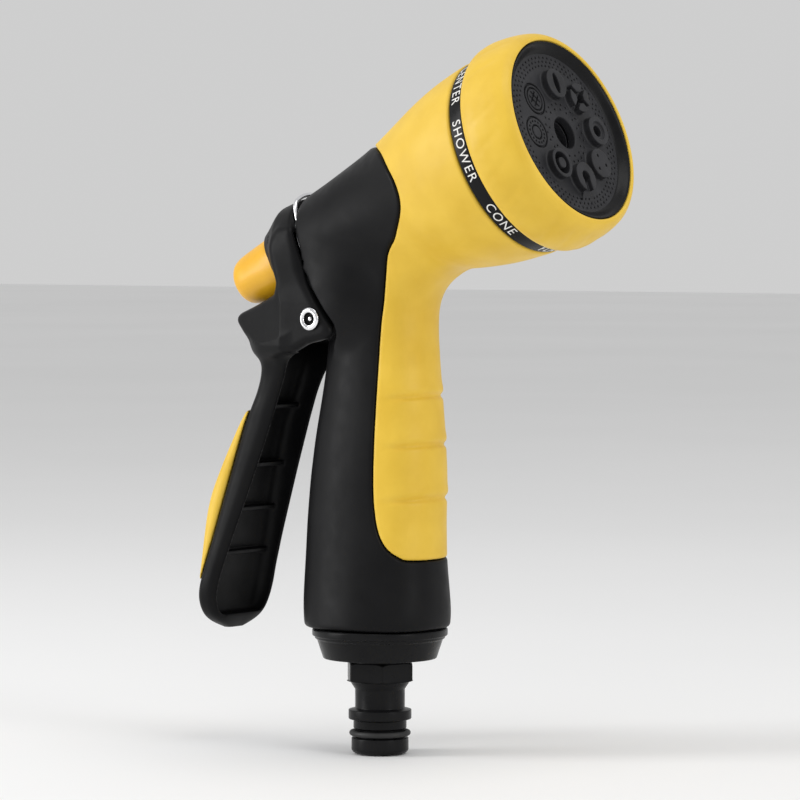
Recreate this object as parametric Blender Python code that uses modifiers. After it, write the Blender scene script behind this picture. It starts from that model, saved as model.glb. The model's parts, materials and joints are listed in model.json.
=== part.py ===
"""A hand-held hose spray nozzle: pistol body, rear squeeze lever, flow knob and turning pattern head.

The frame's origin is the centre of the hose plug's end face. +Z runs up the handle, +X is the side
that the water leaves, and Y is across the handle. Everything on the barrel is placed along the barrel
axis, which lies in the XZ plane and rises towards the head.
"""

import math

import bmesh
import bpy
from mathutils import Matrix, Vector

MM = 0.001

# ---- driving dimensions, in millimetres -------------------------------------------------------------
GAP = 0.3                       # between two pieces that touch
FACET_TURN = 0.11               # radians, so that a hole's corners miss the corners of what it cuts
BARREL_TILT = math.radians(21)  # the barrel axis above the horizontal
BARREL_Z = 145.2                # height of the barrel axis where it crosses the handle axis
SKIN = 2.3                      # thickness of the soft overmoulded skin

PIVOT_X, PIVOT_Z = -11.6, 118.5  # the lever's rivet
RIVET_RADIUS = 2.3
LUG_HALF_WIDTH = 12.9           # body between the lever's ears
EAR_INNER = 13.5
EAR_OUTER = 16.2

HEAD_START = 47.2               # stations along the barrel axis: the turning head's rear end
BAND_END = 51.3
DISC_FACE = 64.3
HEAD_FRONT = 66.9
OPENING_RADIUS = 25.3           # front opening of the bezel
PATTERNS = 8
PATTERN_CIRCLE = 13.2
DETENT_CIRCLE = 20.5
DETENT_TRACK = 48.7             # floor of the groove that the detent ball runs in, between its dimples

HOOD_FRONT = -20.4              # front edge of the lever's hood
HOOD_RADIUS = 14.2
HOOD_INNER = 12.0
HOOD_WALL = -31.4               # rear face of the hood's wall, which pulls the stem by its head
HOOD_WALL_THICKNESS = 1.6
CORE_RADIUS = 10.4              # the body's rear core, under the hood
CORE_END = -29.3
STEM_RADIUS = 2.4
STEM_NECK_RADIUS = 2.0          # where the stem passes the hood's wall
STEM_NECK_START = -27.6
STEM_HEAD_RADIUS = 3.5
KNOB_FRONT = -31.7
KNOB_END = -49.4
KNOB_RECESS = 9.2
CHAMBER_RADIUS = 9.0
SEAT = 15.1

COLLAR_BOTTOM, COLLAR_TOP = 25.0, 33.7
HANDLE_BOTTOM = 34.0
HEX_BOTTOM, HEX_TOP = 19.6, 24.7
HEX_ACROSS_FLATS = 17.0
HEX_TURN = math.radians(10)

CLIP_STATION, CLIP_PIVOT_N = -19.4, -5.0   # the lock clip's hinge, along and above the barrel axis
CLIP_RADIUS = 14.5
CLIP_WIRE = 0.6

# handle sections, bottom to top: height, rear x, front x, half width
HANDLE = [
    (34.0, -20.4, 18.8, 18.7), (36.0, -21.2, 19.3, 18.6), (42.0, -21.7, 19.7, 18.0),
    (53.0, -21.3, 18.6, 17.1), (64.0, -20.8, 18.8, 16.6), (75.0, -19.8, 19.3, 16.1),
    (86.0, -18.3, 18.7, 15.2), (98.0, -15.8, 17.8, 14.1), (106.0, -14.4, 17.0, 13.3),
    (114.0, -13.7, 16.4, 12.9), (120.0, -13.5, 16.4, 12.9), (124.0, -13.5, 17.3, 12.9),
    (127.5, -13.5, 19.6, 12.9), (130.0, -13.5, 22.6, 12.9), (132.0, -13.5, 27.5, 12.9),
    (137.0, -13.5, 27.5, 12.9),
]
# barrel and neck outline, rear to front: station, radius
BARREL = [
    (-18.5, 14.1), (-10, 15.2), (0, 16.9), (6, 17.9), (13, 19.6), (20, 21.8),
    (27, 24.0), (34, 25.8), (40, 26.8), (HEAD_START - GAP, 27.5),
]
# edge of the soft skin seen from the side: x, z, from under the handle's front up and over the barrel
SEAM = [
    (34, 52.3), (17, 52.3), (12.5, 53.4), (9.6, 56.2), (8.0, 61), (7.5, 75), (7.6, 95), (8.2, 112),
    (9.2, 122), (12.0, 135), (17.2, 141), (21.2, 146.5), (22.3, 150.5), (21.2, 154.4), (18.4, 158),
    (13.4, 162.3), (7.5, 164.6), (0.5, 165.6), (-4, 169), (-6, 215), (95, 215), (95, 52.3),
]
# lever arm sections, bottom to top: height, rear x, front x, half width
ARM = [
    (34.2, -51.2, -48.4, 3.2), (35.4, -52.4, -48.2, 6.2), (38.0, -53.3, -47.7, 9.2),
    (42.0, -53.6, -47.0, 11.4), (47.0, -53.0, -45.6, 12.2), (57.0, -50.5, -42.2, 11.4),
    (67.0, -48.0, -38.6, 10.3), (77.0, -45.0, -35.0, 9.4), (90.0, -41.0, -30.4, 8.6),
    (98.0, -36.6, -27.6, 8.6), (102.5, -35.0, -25.4, 9.0), (106.0, -34.4, -23.2, 10.6),
    (109.0, -34.6, -20.4, 13.2), (111.0, -35.0, -18.0, 14.8),
]
ARM_RIBS = (93.7, 77.4, 65.1, 52.8)
ARM_WALL = 2.1
PAD = [(51.5, 1.0), (56.0, 3.6), (62.0, 4.9), (70.0, 5.2), (78.0, 4.1), (85.0, 2.2), (89.5, 0.9)]
# the lever's head, seen from the side: ears, thumb rest and saddle under the knob
LEVER_HEAD = [
    (-20.5, 141.6), (-16.9, 132.3), (-12.6, 126.2), (-8.4, 120.2), (-5.4, 116.2), (-5.4, 113.9),
    (-8.0, 112.9), (-13.5, 111.6), (-18.2, 109.2), (-34.8, 109.2), (-36.2, 111.0),
    (-40.2, 113.8), (-43.4, 117.2), (-43.6, 118.8), (-42.0, 120.1), (-34.6, 122.6), (-27.6, 125.4),
    (-26.2, 128.5), (-27.7, 133.0), (-29.2, 137.8), (-26.0, 141.6),
]

# ---- scene set-up --------------------------------------------------------------------------------------
for old in list(bpy.data.objects):
    bpy.data.objects.remove(old)

PARTS = bpy.data.collections.new("hose_spray_nozzle")
CUTTERS = bpy.data.collections.new("cutters")
for group in (PARTS, CUTTERS):
    bpy.context.scene.collection.children.link(group)

COLOURS = {
    "black_plastic": (0.018, 0.018, 0.020, 0.42, 0.0),
    "soft_yellow": (0.74, 0.50, 0.07, 0.55, 0.0),
    "knob_yellow": (0.78, 0.45, 0.02, 0.40, 0.0),
    "rubber": (0.012, 0.012, 0.012, 0.80, 0.0),
    "white_plastic": (0.75, 0.75, 0.72, 0.45, 0.0),
    "steel": (0.62, 0.62, 0.64, 0.25, 1.0),
    "chrome": (0.80, 0.80, 0.82, 0.12, 1.0),
}


def material_for(name, slot):
    """A new Principled material for one part, in the slot's colour."""
    red, green, blue, rough, metal = COLOURS[slot]
    material = bpy.data.materials.new(name)
    material.use_nodes = True
    shader = material.node_tree.nodes["Principled BSDF"]
    shader.inputs["Base Color"].default_value = (red, green, blue, 1)
    shader.inputs["Roughness"].default_value = rough
    shader.inputs["Metallic"].default_value = metal
    return material


def empty_at(name, x, z, turn=0.0):
    """An empty in the XZ plane, turned about Y."""
    empty = bpy.data.objects.new(name, None)
    empty.location = (x * MM, 0, z * MM)
    empty.rotation_euler = (0, turn, 0)
    PARTS.objects.link(empty)
    return empty


# The barrel empty's Z is the barrel axis towards the head, and its -X is square up from the axis.
BARREL_TURN = math.pi / 2 - BARREL_TILT
barrel_axis = empty_at("barrel_axis", 0, BARREL_Z, BARREL_TURN)
lever_axis = empty_at("lever_axis", PIVOT_X, PIVOT_Z)


def on_barrel(station, above=0.0):
    """The x and z of a place given along and above the barrel axis."""
    cos, sin = math.cos(BARREL_TILT), math.sin(BARREL_TILT)
    return station * cos - above * sin, BARREL_Z + station * sin + above * cos


clip_axis = empty_at("clip_axis", *on_barrel(CLIP_STATION, CLIP_PIVOT_N))
bpy.context.view_layer.update()


# ---- shapes ----------------------------------------------------------------------------------------------
def add(name, mesh, parent=None, cutter=False):
    """Links a mesh made in its parent's own space. A cutter is hidden from renders."""
    obj = bpy.data.objects.new(name, mesh)
    (CUTTERS if cutter else PARTS).objects.link(obj)
    obj.parent = parent
    if cutter:
        obj.hide_render = True
        obj.display_type = "WIRE"
    return obj


def mesh_from(name, bm):
    """A mesh in metres from a bmesh drawn in millimetres."""
    bmesh.ops.scale(bm, vec=(MM, MM, MM), verts=bm.verts)
    mesh = bpy.data.meshes.new(name)
    bm.to_mesh(mesh)
    bm.free()
    return mesh


def screw(obj, steps):
    """Turns a profile about its Z axis."""
    turn = obj.modifiers.new("turn", "SCREW")
    turn.steps = turn.render_steps = steps
    turn.use_merge_vertices = True
    turn.merge_threshold = 0.00001
    turn.use_smooth_shade = True


def turned(name, outline, parent=None, steps=40, cutter=False, at=(0, 0, 0)):
    """A turned piece. outline is (radius, height) down the outer side, and back up the bore if it has one."""
    bm = bmesh.new()
    verts = [bm.verts.new((radius, 0, height)) for radius, height in outline]
    loop = verts + verts[:1] if outline[0][0] > 0 else verts
    for a, b in zip(loop, loop[1:]):
        if a.co.x > 0 or b.co.x > 0:
            bm.edges.new((a, b))
    obj = add(name, mesh_from(name, bm), parent, cutter)
    obj.location = Vector(at) * MM
    screw(obj, steps)
    return obj


def rod(name, radius, low, high, parent=None, steps=32, cutter=False, at=(0, 0, 0), across=False):
    """A plain cylinder from low to high along Z, or along Y if it goes across."""
    bm = bmesh.new()
    bmesh.ops.create_cone(
        bm, cap_ends=True, segments=steps, radius1=radius, radius2=radius, depth=high - low
    )
    bmesh.ops.translate(bm, vec=(0, 0, (low + high) / 2), verts=bm.verts)
    if steps > 6:
        bmesh.ops.rotate(bm, matrix=Matrix.Rotation(FACET_TURN, 3, "Z"), verts=bm.verts)
    if across:
        bmesh.ops.rotate(bm, matrix=Matrix.Rotation(math.pi / 2, 3, "X"), verts=bm.verts)
    obj = add(name, mesh_from(name, bm), parent, cutter)
    obj.location = Vector(at) * MM
    return obj


def prism(name, outline, half_width, parent=None, cutter=False):
    """A side outline in x and z, given half_width each way across Y."""
    curve = bpy.data.curves.new(name, "CURVE")
    curve.dimensions = "2D"
    curve.fill_mode = "BOTH"
    curve.extrude = half_width * MM
    spline = curve.splines.new("POLY")
    spline.points.add(len(outline) - 1)
    for point, (x, z) in zip(spline.points, outline):
        point.co = (x * MM, z * MM, 0, 1)
    spline.use_cyclic_u = True
    flat = bpy.data.objects.new(name + "_outline", curve)
    flat.rotation_euler = (math.pi / 2, 0, 0)
    CUTTERS.objects.link(flat)
    return solid_from_curve(name, flat, parent, cutter)


def solid_from_curve(name, curve_object, parent=None, cutter=False):
    """Makes a curve object into a closed mesh, and removes the curve."""
    bpy.context.view_layer.update()
    evaluated = curve_object.evaluated_get(bpy.context.evaluated_depsgraph_get())
    mesh = bpy.data.meshes.new_from_object(evaluated)
    mesh.name = name
    place = curve_object.matrix_world.copy()
    bpy.data.objects.remove(curve_object)
    bm = bmesh.new()
    bm.from_mesh(mesh)
    bmesh.ops.remove_doubles(bm, verts=bm.verts, dist=0.000001)
    bmesh.ops.recalc_face_normals(bm, faces=bm.faces)
    bm.to_mesh(mesh)
    bm.free()
    obj = add(name, mesh, parent, cutter)
    obj.matrix_world = place
    return obj


def loft(name, rings, parent=None, cutter=False):
    """A closed solid through rings of points that all have the same count, bottom to top."""
    bm = bmesh.new()
    rows = [[bm.verts.new(point) for point in ring] for ring in rings]
    for low, high in zip(rows, rows[1:]):
        for i in range(len(low)):
            j = (i + 1) % len(low)
            bm.faces.new((low[i], low[j], high[j], high[i]))
    bm.faces.new(reversed(rows[0]))
    bm.faces.new(rows[-1])
    bmesh.ops.recalc_face_normals(bm, faces=bm.faces)
    return add(name, mesh_from(name, bm), parent, cutter)


def wire(name, points, radius, parent=None, sides=2, cyclic=False):
    """A round wire through points, as a closed mesh."""
    curve = bpy.data.curves.new(name, "CURVE")
    curve.dimensions = "3D"
    curve.bevel_depth = radius * MM
    curve.bevel_resolution = sides
    curve.use_fill_caps = True
    spline = curve.splines.new("POLY")
    spline.points.add(len(points) - 1)
    for place, point in zip(spline.points, points):
        place.co = (point[0] * MM, point[1] * MM, point[2] * MM, 1)
    spline.use_cyclic_u = cyclic
    obj = bpy.data.objects.new(name + "_line", curve)
    CUTTERS.objects.link(obj)
    solid = solid_from_curve(name, obj)
    solid.parent = parent
    solid.matrix_world = parent.matrix_world.copy() if parent else Matrix.Identity(4)
    return solid


def coil(name, radius, thickness, low, high, turns, parent, at=(0, 0)):
    """A compression spring round the parent's Z."""
    count = int(turns * 10)
    points = []
    for i in range(count + 1):
        angle = 2 * math.pi * turns * i / count
        height = low + thickness + (high - low - 2 * thickness) * i / count
        points.append((at[0] + radius * math.cos(angle), at[1] + radius * math.sin(angle), height))
    return wire(name, points, thickness, parent, sides=1)


def boolean(obj, other, operation):
    """Adds an exact Boolean with another object."""
    step = obj.modifiers.new(other.name, "BOOLEAN")
    step.operation = operation
    step.object = other
    step.solver = "EXACT"


def cut(obj, *cutters):
    for other in cutters:
        boolean(obj, other, "DIFFERENCE")


def join(obj, *others):
    for other in others:
        boolean(obj, other, "UNION")


def paint(obj, slot):
    """Gives a part its own material and smooth shading across its round faces."""
    obj.data.materials.clear()
    obj.data.materials.append(material_for(obj.name, slot))
    obj.data.shade_smooth()
    return obj


def oval(z, rear, front, half_width, count=28, fullness=2.3):
    """One flat ring of points round a rounded section. A higher fullness is squarer."""
    middle, reach = (rear + front) / 2, (front - rear) / 2
    ring = []
    for i in range(count):
        angle = 2 * math.pi * i / count
        cos, sin = math.cos(angle), math.sin(angle)
        x = middle + reach * math.copysign(abs(cos) ** (2 / fullness), cos)
        y = half_width * math.copysign(abs(sin) ** (2 / fullness), sin)
        ring.append((x, y, z))
    return ring


# ---- body and overmould ------------------------------------------------------------------------------
def handle_solid(name, inset, cutter=True):
    """The handle with its fillet under the neck, made smaller all round by inset."""
    rings = []
    for z, rear, front, half in HANDLE:
        if z >= HANDLE_BOTTOM + 2 * inset:
            rings.append(oval(z, rear + inset, front - inset, half - inset))
    return loft(name, rings, cutter=cutter)


def barrel_solid(name, inset, end, cutter=True):
    """The barrel and flared neck, made smaller all round by inset, as far as the given station."""
    outline = [(0, end)]
    outline += [(radius - inset, min(s, end)) for s, radius in reversed(BARREL)]
    outline += [(0, BARREL[0][0])]
    return turned(name, outline, barrel_axis, steps=40, cutter=cutter)


def skin_region(name, offset):
    """The space in front of the seam, moved back by offset."""
    outline = [(x - offset, z - offset) for x, z in SEAM]
    return prism(name, outline, 40, cutter=True)


def overmould():
    """The yellow skin: the front third of the handle and the whole neck."""
    skin = handle_solid("grip_overmould", 0, cutter=False)
    join(skin, barrel_solid("skin_barrel", 0, HEAD_START - GAP))
    boolean(skin, skin_region("skin_space", 0), "INTERSECT")
    cut(skin, handle_solid("skin_handle_core", SKIN))
    cut(skin, barrel_solid("skin_barrel_core", SKIN, HEAD_START + 1))
    return paint(skin, "soft_yellow")


def seam_cutter():
    """Everything behind the line where the barrel meets the lever's hood and ears."""
    top = on_barrel(-16.6, 20)
    middle = on_barrel(-18.4, CLIP_PIVOT_N)
    return prism(
        "hood_space",
        [top, middle, (-11.5, 126.0), (-9.8, 123.4), (-40, 123.4), (-60, 150), (-40, 180)],
        40,
        cutter=True,
    )


def body_shell():
    """The black body: handle and barrel, with the valve chamber, waterway, lugs and front plate."""
    body = barrel_solid("body_shell", 0, HEAD_START - GAP, cutter=False)
    cut(body, seam_cutter())
    join(body, handle_solid("body_handle", 0))
    cut(body, skin_region("skin_clearance", GAP))
    join(body, handle_solid("body_handle_core", SKIN + GAP))
    join(body, barrel_solid("body_barrel_core", SKIN + GAP, HEAD_START - GAP))
    join(body, rod("body_rear_core", CORE_RADIUS, CORE_END, 4, barrel_axis, 32, cutter=True))
    join(body, rod("pivot_lug", 5.6, -LUG_HALF_WIDTH, LUG_HALF_WIDTH, lever_axis, 28,
                   cutter=True, across=True))
    join(body, rod("clip_boss", 1.6, -10.6, 10.6, clip_axis, 16, cutter=True, across=True))
    hub = rod("head_hub", 5.0, 43, 53.8, barrel_axis, 32, cutter=True)
    join(body, hub)
    cut(body, waterway(), inlet_bore())
    cut(body, rod("rivet_bore", RIVET_RADIUS + GAP, -30, 30, lever_axis, 24, cutter=True, across=True))
    for side, (low, high) in (("left", (-20, -9.5)), ("right", (9.5, 20))):
        hole = rod(f"clip_hole_{side}", CLIP_WIRE + GAP, low, high, clip_axis, 12, cutter=True, across=True)
        cut(body, hole)
    cut(body, port_pocket(), detent_pocket())
    cut(body, rod("screw_hole", 1.6 + GAP, 44, 60, barrel_axis, 20, cutter=True))
    return paint(body, "black_plastic")


def waterway():
    """The valve chamber, the seat's opening and the flared space behind the front plate."""
    outline = [
        (0, 34), (17, 34), (17, 31), (10, 24), (7.5, SEAT + 2), (5.5, SEAT + 2), (5.5, SEAT),
        (CHAMBER_RADIUS, SEAT), (CHAMBER_RADIUS, CORE_END - 2), (0, CORE_END - 2),
    ]
    return turned("waterway", outline, barrel_axis, steps=24, cutter=True)


def inlet_bore():
    """The water's way up the handle, with a wider mouth for the hose adapter."""
    outline = [(0, 145), (6.2, 145), (6.2, 42), (8.5, 42), (8.5, 30), (0, 30)]
    return turned("inlet_bore", outline, steps=24, cutter=True)


def port_pocket():
    """The one outlet in the front plate, at the bottom of the pattern circle."""
    outline = [(0, 50), (4.3, 50), (4.3, 40.3), (2.6, 40.3), (2.6, 30), (0, 30)]
    return turned("port_pocket", outline, barrel_axis, 24, cutter=True, at=(PATTERN_CIRCLE, 0, 0))


def detent_pocket():
    """The blind hole for the detent ball and its spring, at the top of the front plate."""
    return rod("detent_pocket", 1.9, 41.3, 50, barrel_axis, 20, cutter=True, at=(-DETENT_CIRCLE, 0, 0))


# ---- handle end and hose adapter --------------------------------------------------------------------
def handle_collar():
    """The stepped end cap under the handle."""
    outline = [
        (18.5, COLLAR_TOP), (18.7, 33.3), (18.7, 31.7), (17.8, 31.5), (17.8, 30.8), (17.2, 30.5),
        (15.5, COLLAR_BOTTOM), (8.6, COLLAR_BOTTOM), (8.6, COLLAR_TOP),
    ]
    return paint(turned("handle_collar", outline, steps=36), "black_plastic")


def hose_adapter():
    """The quick-connect plug with its hexagon, screwed up through the collar."""
    outline = [
        (8.2, 37.0), (8.2, 19.6), (7.6, 18.6), (6.8, 17.4), (6.8, 12.2), (8.6, 11.8), (8.6, 9.3),
        (7.25, 8.9), (7.25, 6.7), (6.6, 6.6), (6.6, 4.2), (7.8, 4.1), (7.8, 0.8), (7.2, 0.0),
        (4.6, 0.0), (4.6, 22.0), (6.0, 24.0), (6.0, 37.0),
    ]
    adapter = turned("hose_adapter", outline, steps=28)
    across_corners = HEX_ACROSS_FLATS / math.cos(math.pi / 6)
    hexagon = rod("adapter_hexagon", across_corners / 2, HEX_BOTTOM + 0.1, HEX_TOP, steps=6, cutter=True)
    hexagon.rotation_euler = (0, 0, HEX_TURN + math.pi / 6)
    cut(hexagon, rod("hexagon_bore", 7.9, 0, 60, steps=32, cutter=True))
    join(adapter, hexagon)
    return paint(adapter, "black_plastic")


def plug_o_ring():
    """The seal in the plug's groove."""
    return paint(round_ring("plug_o_ring", 7.65, 0.75, 5.4), "rubber")


def round_ring(name, radius, thickness, height, parent=None, steps=24, at=(0, 0, 0)):
    """An O-ring round Z."""
    outline = []
    for i in range(8):
        angle = math.pi / 2 - 2 * math.pi * i / 8
        outline.append((radius + thickness * math.cos(angle), height + thickness * math.sin(angle)))
    return turned(name, outline, parent, steps, at=at)


def washer(name, inner, outer, low, high, parent=None, steps=24, at=(0, 0, 0)):
    """A flat ring round Z."""
    outline = [(outer, high), (outer, low), (inner, low), (inner, high)]
    return turned(name, outline, parent, steps, at=at)


def inlet_washer():
    return paint(washer("inlet_washer", 5.2, 8.1, 37.3, 39.4), "rubber")


def inlet_filter():
    """The round screen that keeps grit out of the valve."""
    screen = rod("inlet_filter", 8.1, 39.7, 40.9)
    for ring, count in ((0, 1), (3.2, 6)):
        for i in range(count):
            angle = 2 * math.pi * i / count
            place = (ring * math.cos(angle), ring * math.sin(angle), 0)
            cut(screen, rod(f"filter_hole_{ring:g}_{i}", 1.1, 30, 50, steps=10, cutter=True, at=place))
    return paint(screen, "white_plastic")


# ---- turning head ---------------------------------------------------------------------------------------
def head_bezel():
    """The yellow ring that is turned to pick a pattern."""
    outline = [
        (26.0, HEAD_FRONT), (26.9, 66.4), (27.9, 65.2), (28.5, 63), (29.1, 60.0), (29.5, 56.4),
        (29.4, 54.2), (28.8, 52.5), (27.9, BAND_END + GAP), (25.6, BAND_END + GAP),
        (25.6, 62.0), (OPENING_RADIUS, 62.0), (OPENING_RADIUS, 66.6),
    ]
    return paint(turned("head_bezel", outline, barrel_axis, 48), "soft_yellow")


def label_band():
    """The black ring that carries the pattern names."""
    ring = washer("label_band", 24.4, 27.3, HEAD_START, BAND_END, barrel_axis, 48)
    return paint(ring, "black_plastic")


def pattern_disc():
    """The black face: a dished cup with eight outlets round a centre hole."""
    outline = [
        (25.0, 66.5), (25.0, 52.3), (23.0, 52.3), (23.0, 61.5), (5.0, 61.5), (5.0, 55.3),
        (2.2, 55.3), (2.2, 58.0), (4.4, 58.0), (4.4, DISC_FACE), (22.0, DISC_FACE), (24.6, 66.5),
    ]
    disc = turned("pattern_disc", outline, barrel_axis, 40)
    for i in range(PATTERNS):
        angle = 2 * math.pi * i / PATTERNS
        place = (PATTERN_CIRCLE * math.cos(angle), PATTERN_CIRCLE * math.sin(angle), 0)
        if i not in (5, 6):
            join(disc, rod(f"outlet_post_{i}", 4.1, 63, 66.6, barrel_axis, 12, cutter=True, at=place))
        cut(disc, rod(f"outlet_hole_{i}", 1.4, 55, 70, barrel_axis, 8, cutter=True, at=place))
    return paint(disc, "black_plastic")


def distributor_plate():
    """The plate behind the face that lets water into one outlet chamber at a time."""
    track_inner, track_outer = DETENT_CIRCLE - 2.1, DETENT_CIRCLE + 2.1
    outline = [
        (23.9, 51.9), (23.9, 47.7), (track_outer, 47.7), (track_outer, DETENT_TRACK),
        (track_inner, DETENT_TRACK), (track_inner, 47.7), (5.4, 47.7), (5.4, 51.9),
    ]
    plate = turned("distributor_plate", outline, barrel_axis, 36)
    for i in range(PATTERNS):
        angle = 2 * math.pi * i / PATTERNS
        cos, sin = math.cos(angle), math.sin(angle)
        port = (PATTERN_CIRCLE * cos, PATTERN_CIRCLE * sin, 0)
        dimple = (DETENT_CIRCLE * cos, DETENT_CIRCLE * sin, 0)
        cut(plate, rod(f"plate_port_{i}", 2.2, 40, 60, barrel_axis, 10, cutter=True, at=port))
        cut(plate, rod(f"plate_dimple_{i}", 1.9, 40, DETENT_TRACK + 0.7, barrel_axis, 10, cutter=True, at=dimple))
    return paint(plate, "white_plastic")


def head_screw():
    """The screw that holds the head on its hub, with a washer face under its head."""
    screw_body = turned(
        "head_screw",
        [(0, 61.2), (2.6, 60.9), (3.6, 60.2), (3.6, 58.4), (1.6, 58.4), (1.6, 45.3), (0, 44.7)],
        barrel_axis,
        28,
    )
    bar = rod("screw_slot_1", 0.5, 60.1, 62, barrel_axis, 4, cutter=True)
    bar.scale = (3.6, 1, 1)
    other = rod("screw_slot_2", 0.5, 60.1, 62, barrel_axis, 4, cutter=True)
    other.scale = (1, 3.6, 1)
    cut(screw_body, bar, other)
    return paint(screw_body, "steel")


def head_seals():
    """The sprung port seal, the detent ball on its spring, and the hub's O-ring."""
    place = (PATTERN_CIRCLE, 0, 0)
    paint(washer("port_seal", 2.2, 4.0, 43.5, 47.4, barrel_axis, 24, place), "rubber")
    paint(coil("port_seal_spring", 3.3, 0.35, 40.6, 43.2, 3, barrel_axis, (PATTERN_CIRCLE, 0)), "steel")
    bm = bmesh.new()
    bmesh.ops.create_uvsphere(bm, u_segments=12, v_segments=8, radius=1.6)
    ball = add("detent_ball", mesh_from("detent_ball", bm), barrel_axis)
    ball.location = (-DETENT_CIRCLE * MM, 0, 46.9 * MM)
    paint(ball, "steel")
    paint(coil("detent_spring", 1.2, 0.25, 41.6, 45.0, 4, barrel_axis, (-DETENT_CIRCLE, 0)), "steel")
    paint(round_ring("hub_o_ring", 6.4, 0.7, 53.0, barrel_axis), "rubber")


# ---- valve ----------------------------------------------------------------------------------------------
def valve_stem():
    """The rod from the lever's hood through the gland to the valve, with the spring's collar."""
    head = HOOD_WALL - GAP
    outline = [
        (0, 18.6), (1.9, 18.2), (1.9, 12.0), (7.2, 12.0), (7.2, 9.6), (STEM_RADIUS, 8.8),
        (STEM_RADIUS, STEM_NECK_START), (STEM_NECK_RADIUS, STEM_NECK_START - 0.2),
        (STEM_NECK_RADIUS, head),
        (STEM_HEAD_RADIUS, head), (STEM_HEAD_RADIUS, head - 2.2), (0, head - 2.6),
    ]
    return paint(turned("valve_stem", outline, barrel_axis, 20), "steel")


def valve_seal():
    return paint(washer("valve_seal", 2.2, 7.4, 12.3, SEAT - GAP, barrel_axis), "rubber")


def seal_nut():
    """The nut that holds the seal on the stem, in the seat's opening."""
    return paint(washer("seal_nut", 2.2, 4.6, SEAT, 17.4, barrel_axis, 6), "steel")


def valve_spring():
    return paint(coil("valve_spring", 5.6, 0.65, -19.6, 8.8, 6, barrel_axis), "steel")


def gland_nut():
    """The plug at the rear of the chamber that the stem slides through."""
    outline = [
        (8.7, -20.0), (8.7, -29.0), (2.75, -29.0), (2.75, -26.4), (4.3, -26.4), (4.3, -24.0),
        (2.75, -24.0), (2.75, -20.0),
    ]
    return paint(turned("gland_nut", outline, barrel_axis, 24), "white_plastic")


def stem_o_ring():
    return paint(round_ring("stem_o_ring", 3.5, 0.7, -25.2, barrel_axis), "rubber")


def flow_knob():
    """The hollow tapered knob behind the hood. The stem's head moves inside it."""
    outline = [
        (8.5, KNOB_FRONT), (8.8, -32.4), (8.6, -36.0), (7.8, -41.5), (7.0, -46.2), (6.2, -48.4),
        (4.8, KNOB_END), (0, KNOB_END), (0, -42.5), (5.4, -42.5), (7.3, -38.5), (7.3, KNOB_FRONT),
    ]
    knob = turned("flow_knob", outline, barrel_axis, 32)
    return paint(knob, "knob_yellow")


# ---- lever ------------------------------------------------------------------------------------------------
def arm_rings(grow, rows=ARM):
    """Sections of the lever's arm, made smaller all round by grow."""
    return [oval(z, rear + grow, edge - grow, half - grow, 24, 3.2) for z, rear, edge, half in rows]


def arm_value(height, column):
    """A value of the arm's sections at a height, read between its rows."""
    for low, high in zip(ARM, ARM[1:]):
        if low[0] <= height <= high[0]:
            share = (height - low[0]) / (high[0] - low[0])
            return low[column] + share * (high[column] - low[column])
    raise ValueError(height)


def arm_hollow():
    """The arm's inside, open towards the handle, leaving a cross rib at each rib height."""
    rings = []
    for z, rear, edge, half in ARM[2:]:
        rings.append(oval(z + 0.4, rear + ARM_WALL, edge + 14, half - ARM_WALL, 22, 5))
    hollow = loft("arm_hollow", rings, cutter=True)
    for i, height in enumerate(ARM_RIBS):
        rear, edge = arm_value(height, 1), arm_value(height, 2)
        lip = rear + ARM_WALL + 0.55 * (edge - rear - ARM_WALL)
        outline = [(rear - 9, height - 0.6), (lip, height - 0.6), (lip, height + 0.6), (rear - 9, height + 0.6)]
        cut(hollow, prism(f"rib_{i}", outline, 20, cutter=True))
    return hollow


def lever_head():
    """Ears, thumb rest and saddle: the side outline, narrowed in plan towards the thumb rest."""
    block = prism("lever_head", LEVER_HEAD, EAR_OUTER, cutter=True)
    half = [(0, EAR_OUTER), (-22, EAR_OUTER), (-29, 13.6), (-36, 11.2), (-42.0, 9.4), (-44.2, 7.0)]
    outline = half + [(x, -y) for x, y in reversed(half)]
    boolean(block, slab("lever_plan", outline, 90, 150), "INTERSECT")
    return block


def head_hollow():
    """The space for the body between the ears, and the hollow of the thumb rest."""
    outline = [
        (10, 100), (-16.4, 100), (-16.8, 108.0), (-19.6, 110.7), (-33.4, 111.6), (-39.6, 116.4), (-41.2, 118.2),
        (-34.0, 120.2), (-27.5, 122.6), (-24.2, 124.6), (-24.2, 142), (10, 142),
    ]
    space = prism("head_hollow", outline, EAR_INNER, cutter=True)
    half = [(30, EAR_INNER), (-22, EAR_INNER), (-29, 11.2), (-36, 9.0), (-41.5, 7.0)]
    plan = half + [(x, -y) for x, y in reversed(half)]
    boolean(space, slab("head_hollow_plan", plan, 80, 150), "INTERSECT")
    return space


def slab(name, outline, low, high):
    """A plan outline in x and y, from low to high along Z."""
    block = prism(name, outline, (high - low) / 2, cutter=True)
    block.matrix_world = Matrix.Translation((0, 0, (low + high) / 2 * MM))
    return block


def hood_opening():
    """What is cut from the hood's rear: the slanted mouth round the knob."""
    top, side = on_barrel(-34.6, 9.5), on_barrel(-31.6, 0)
    low = on_barrel(-30.4, -8.5)
    return prism("hood_mouth", [top, side, low, (-60, 120), (-60, 160)], 30, cutter=True)


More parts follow.
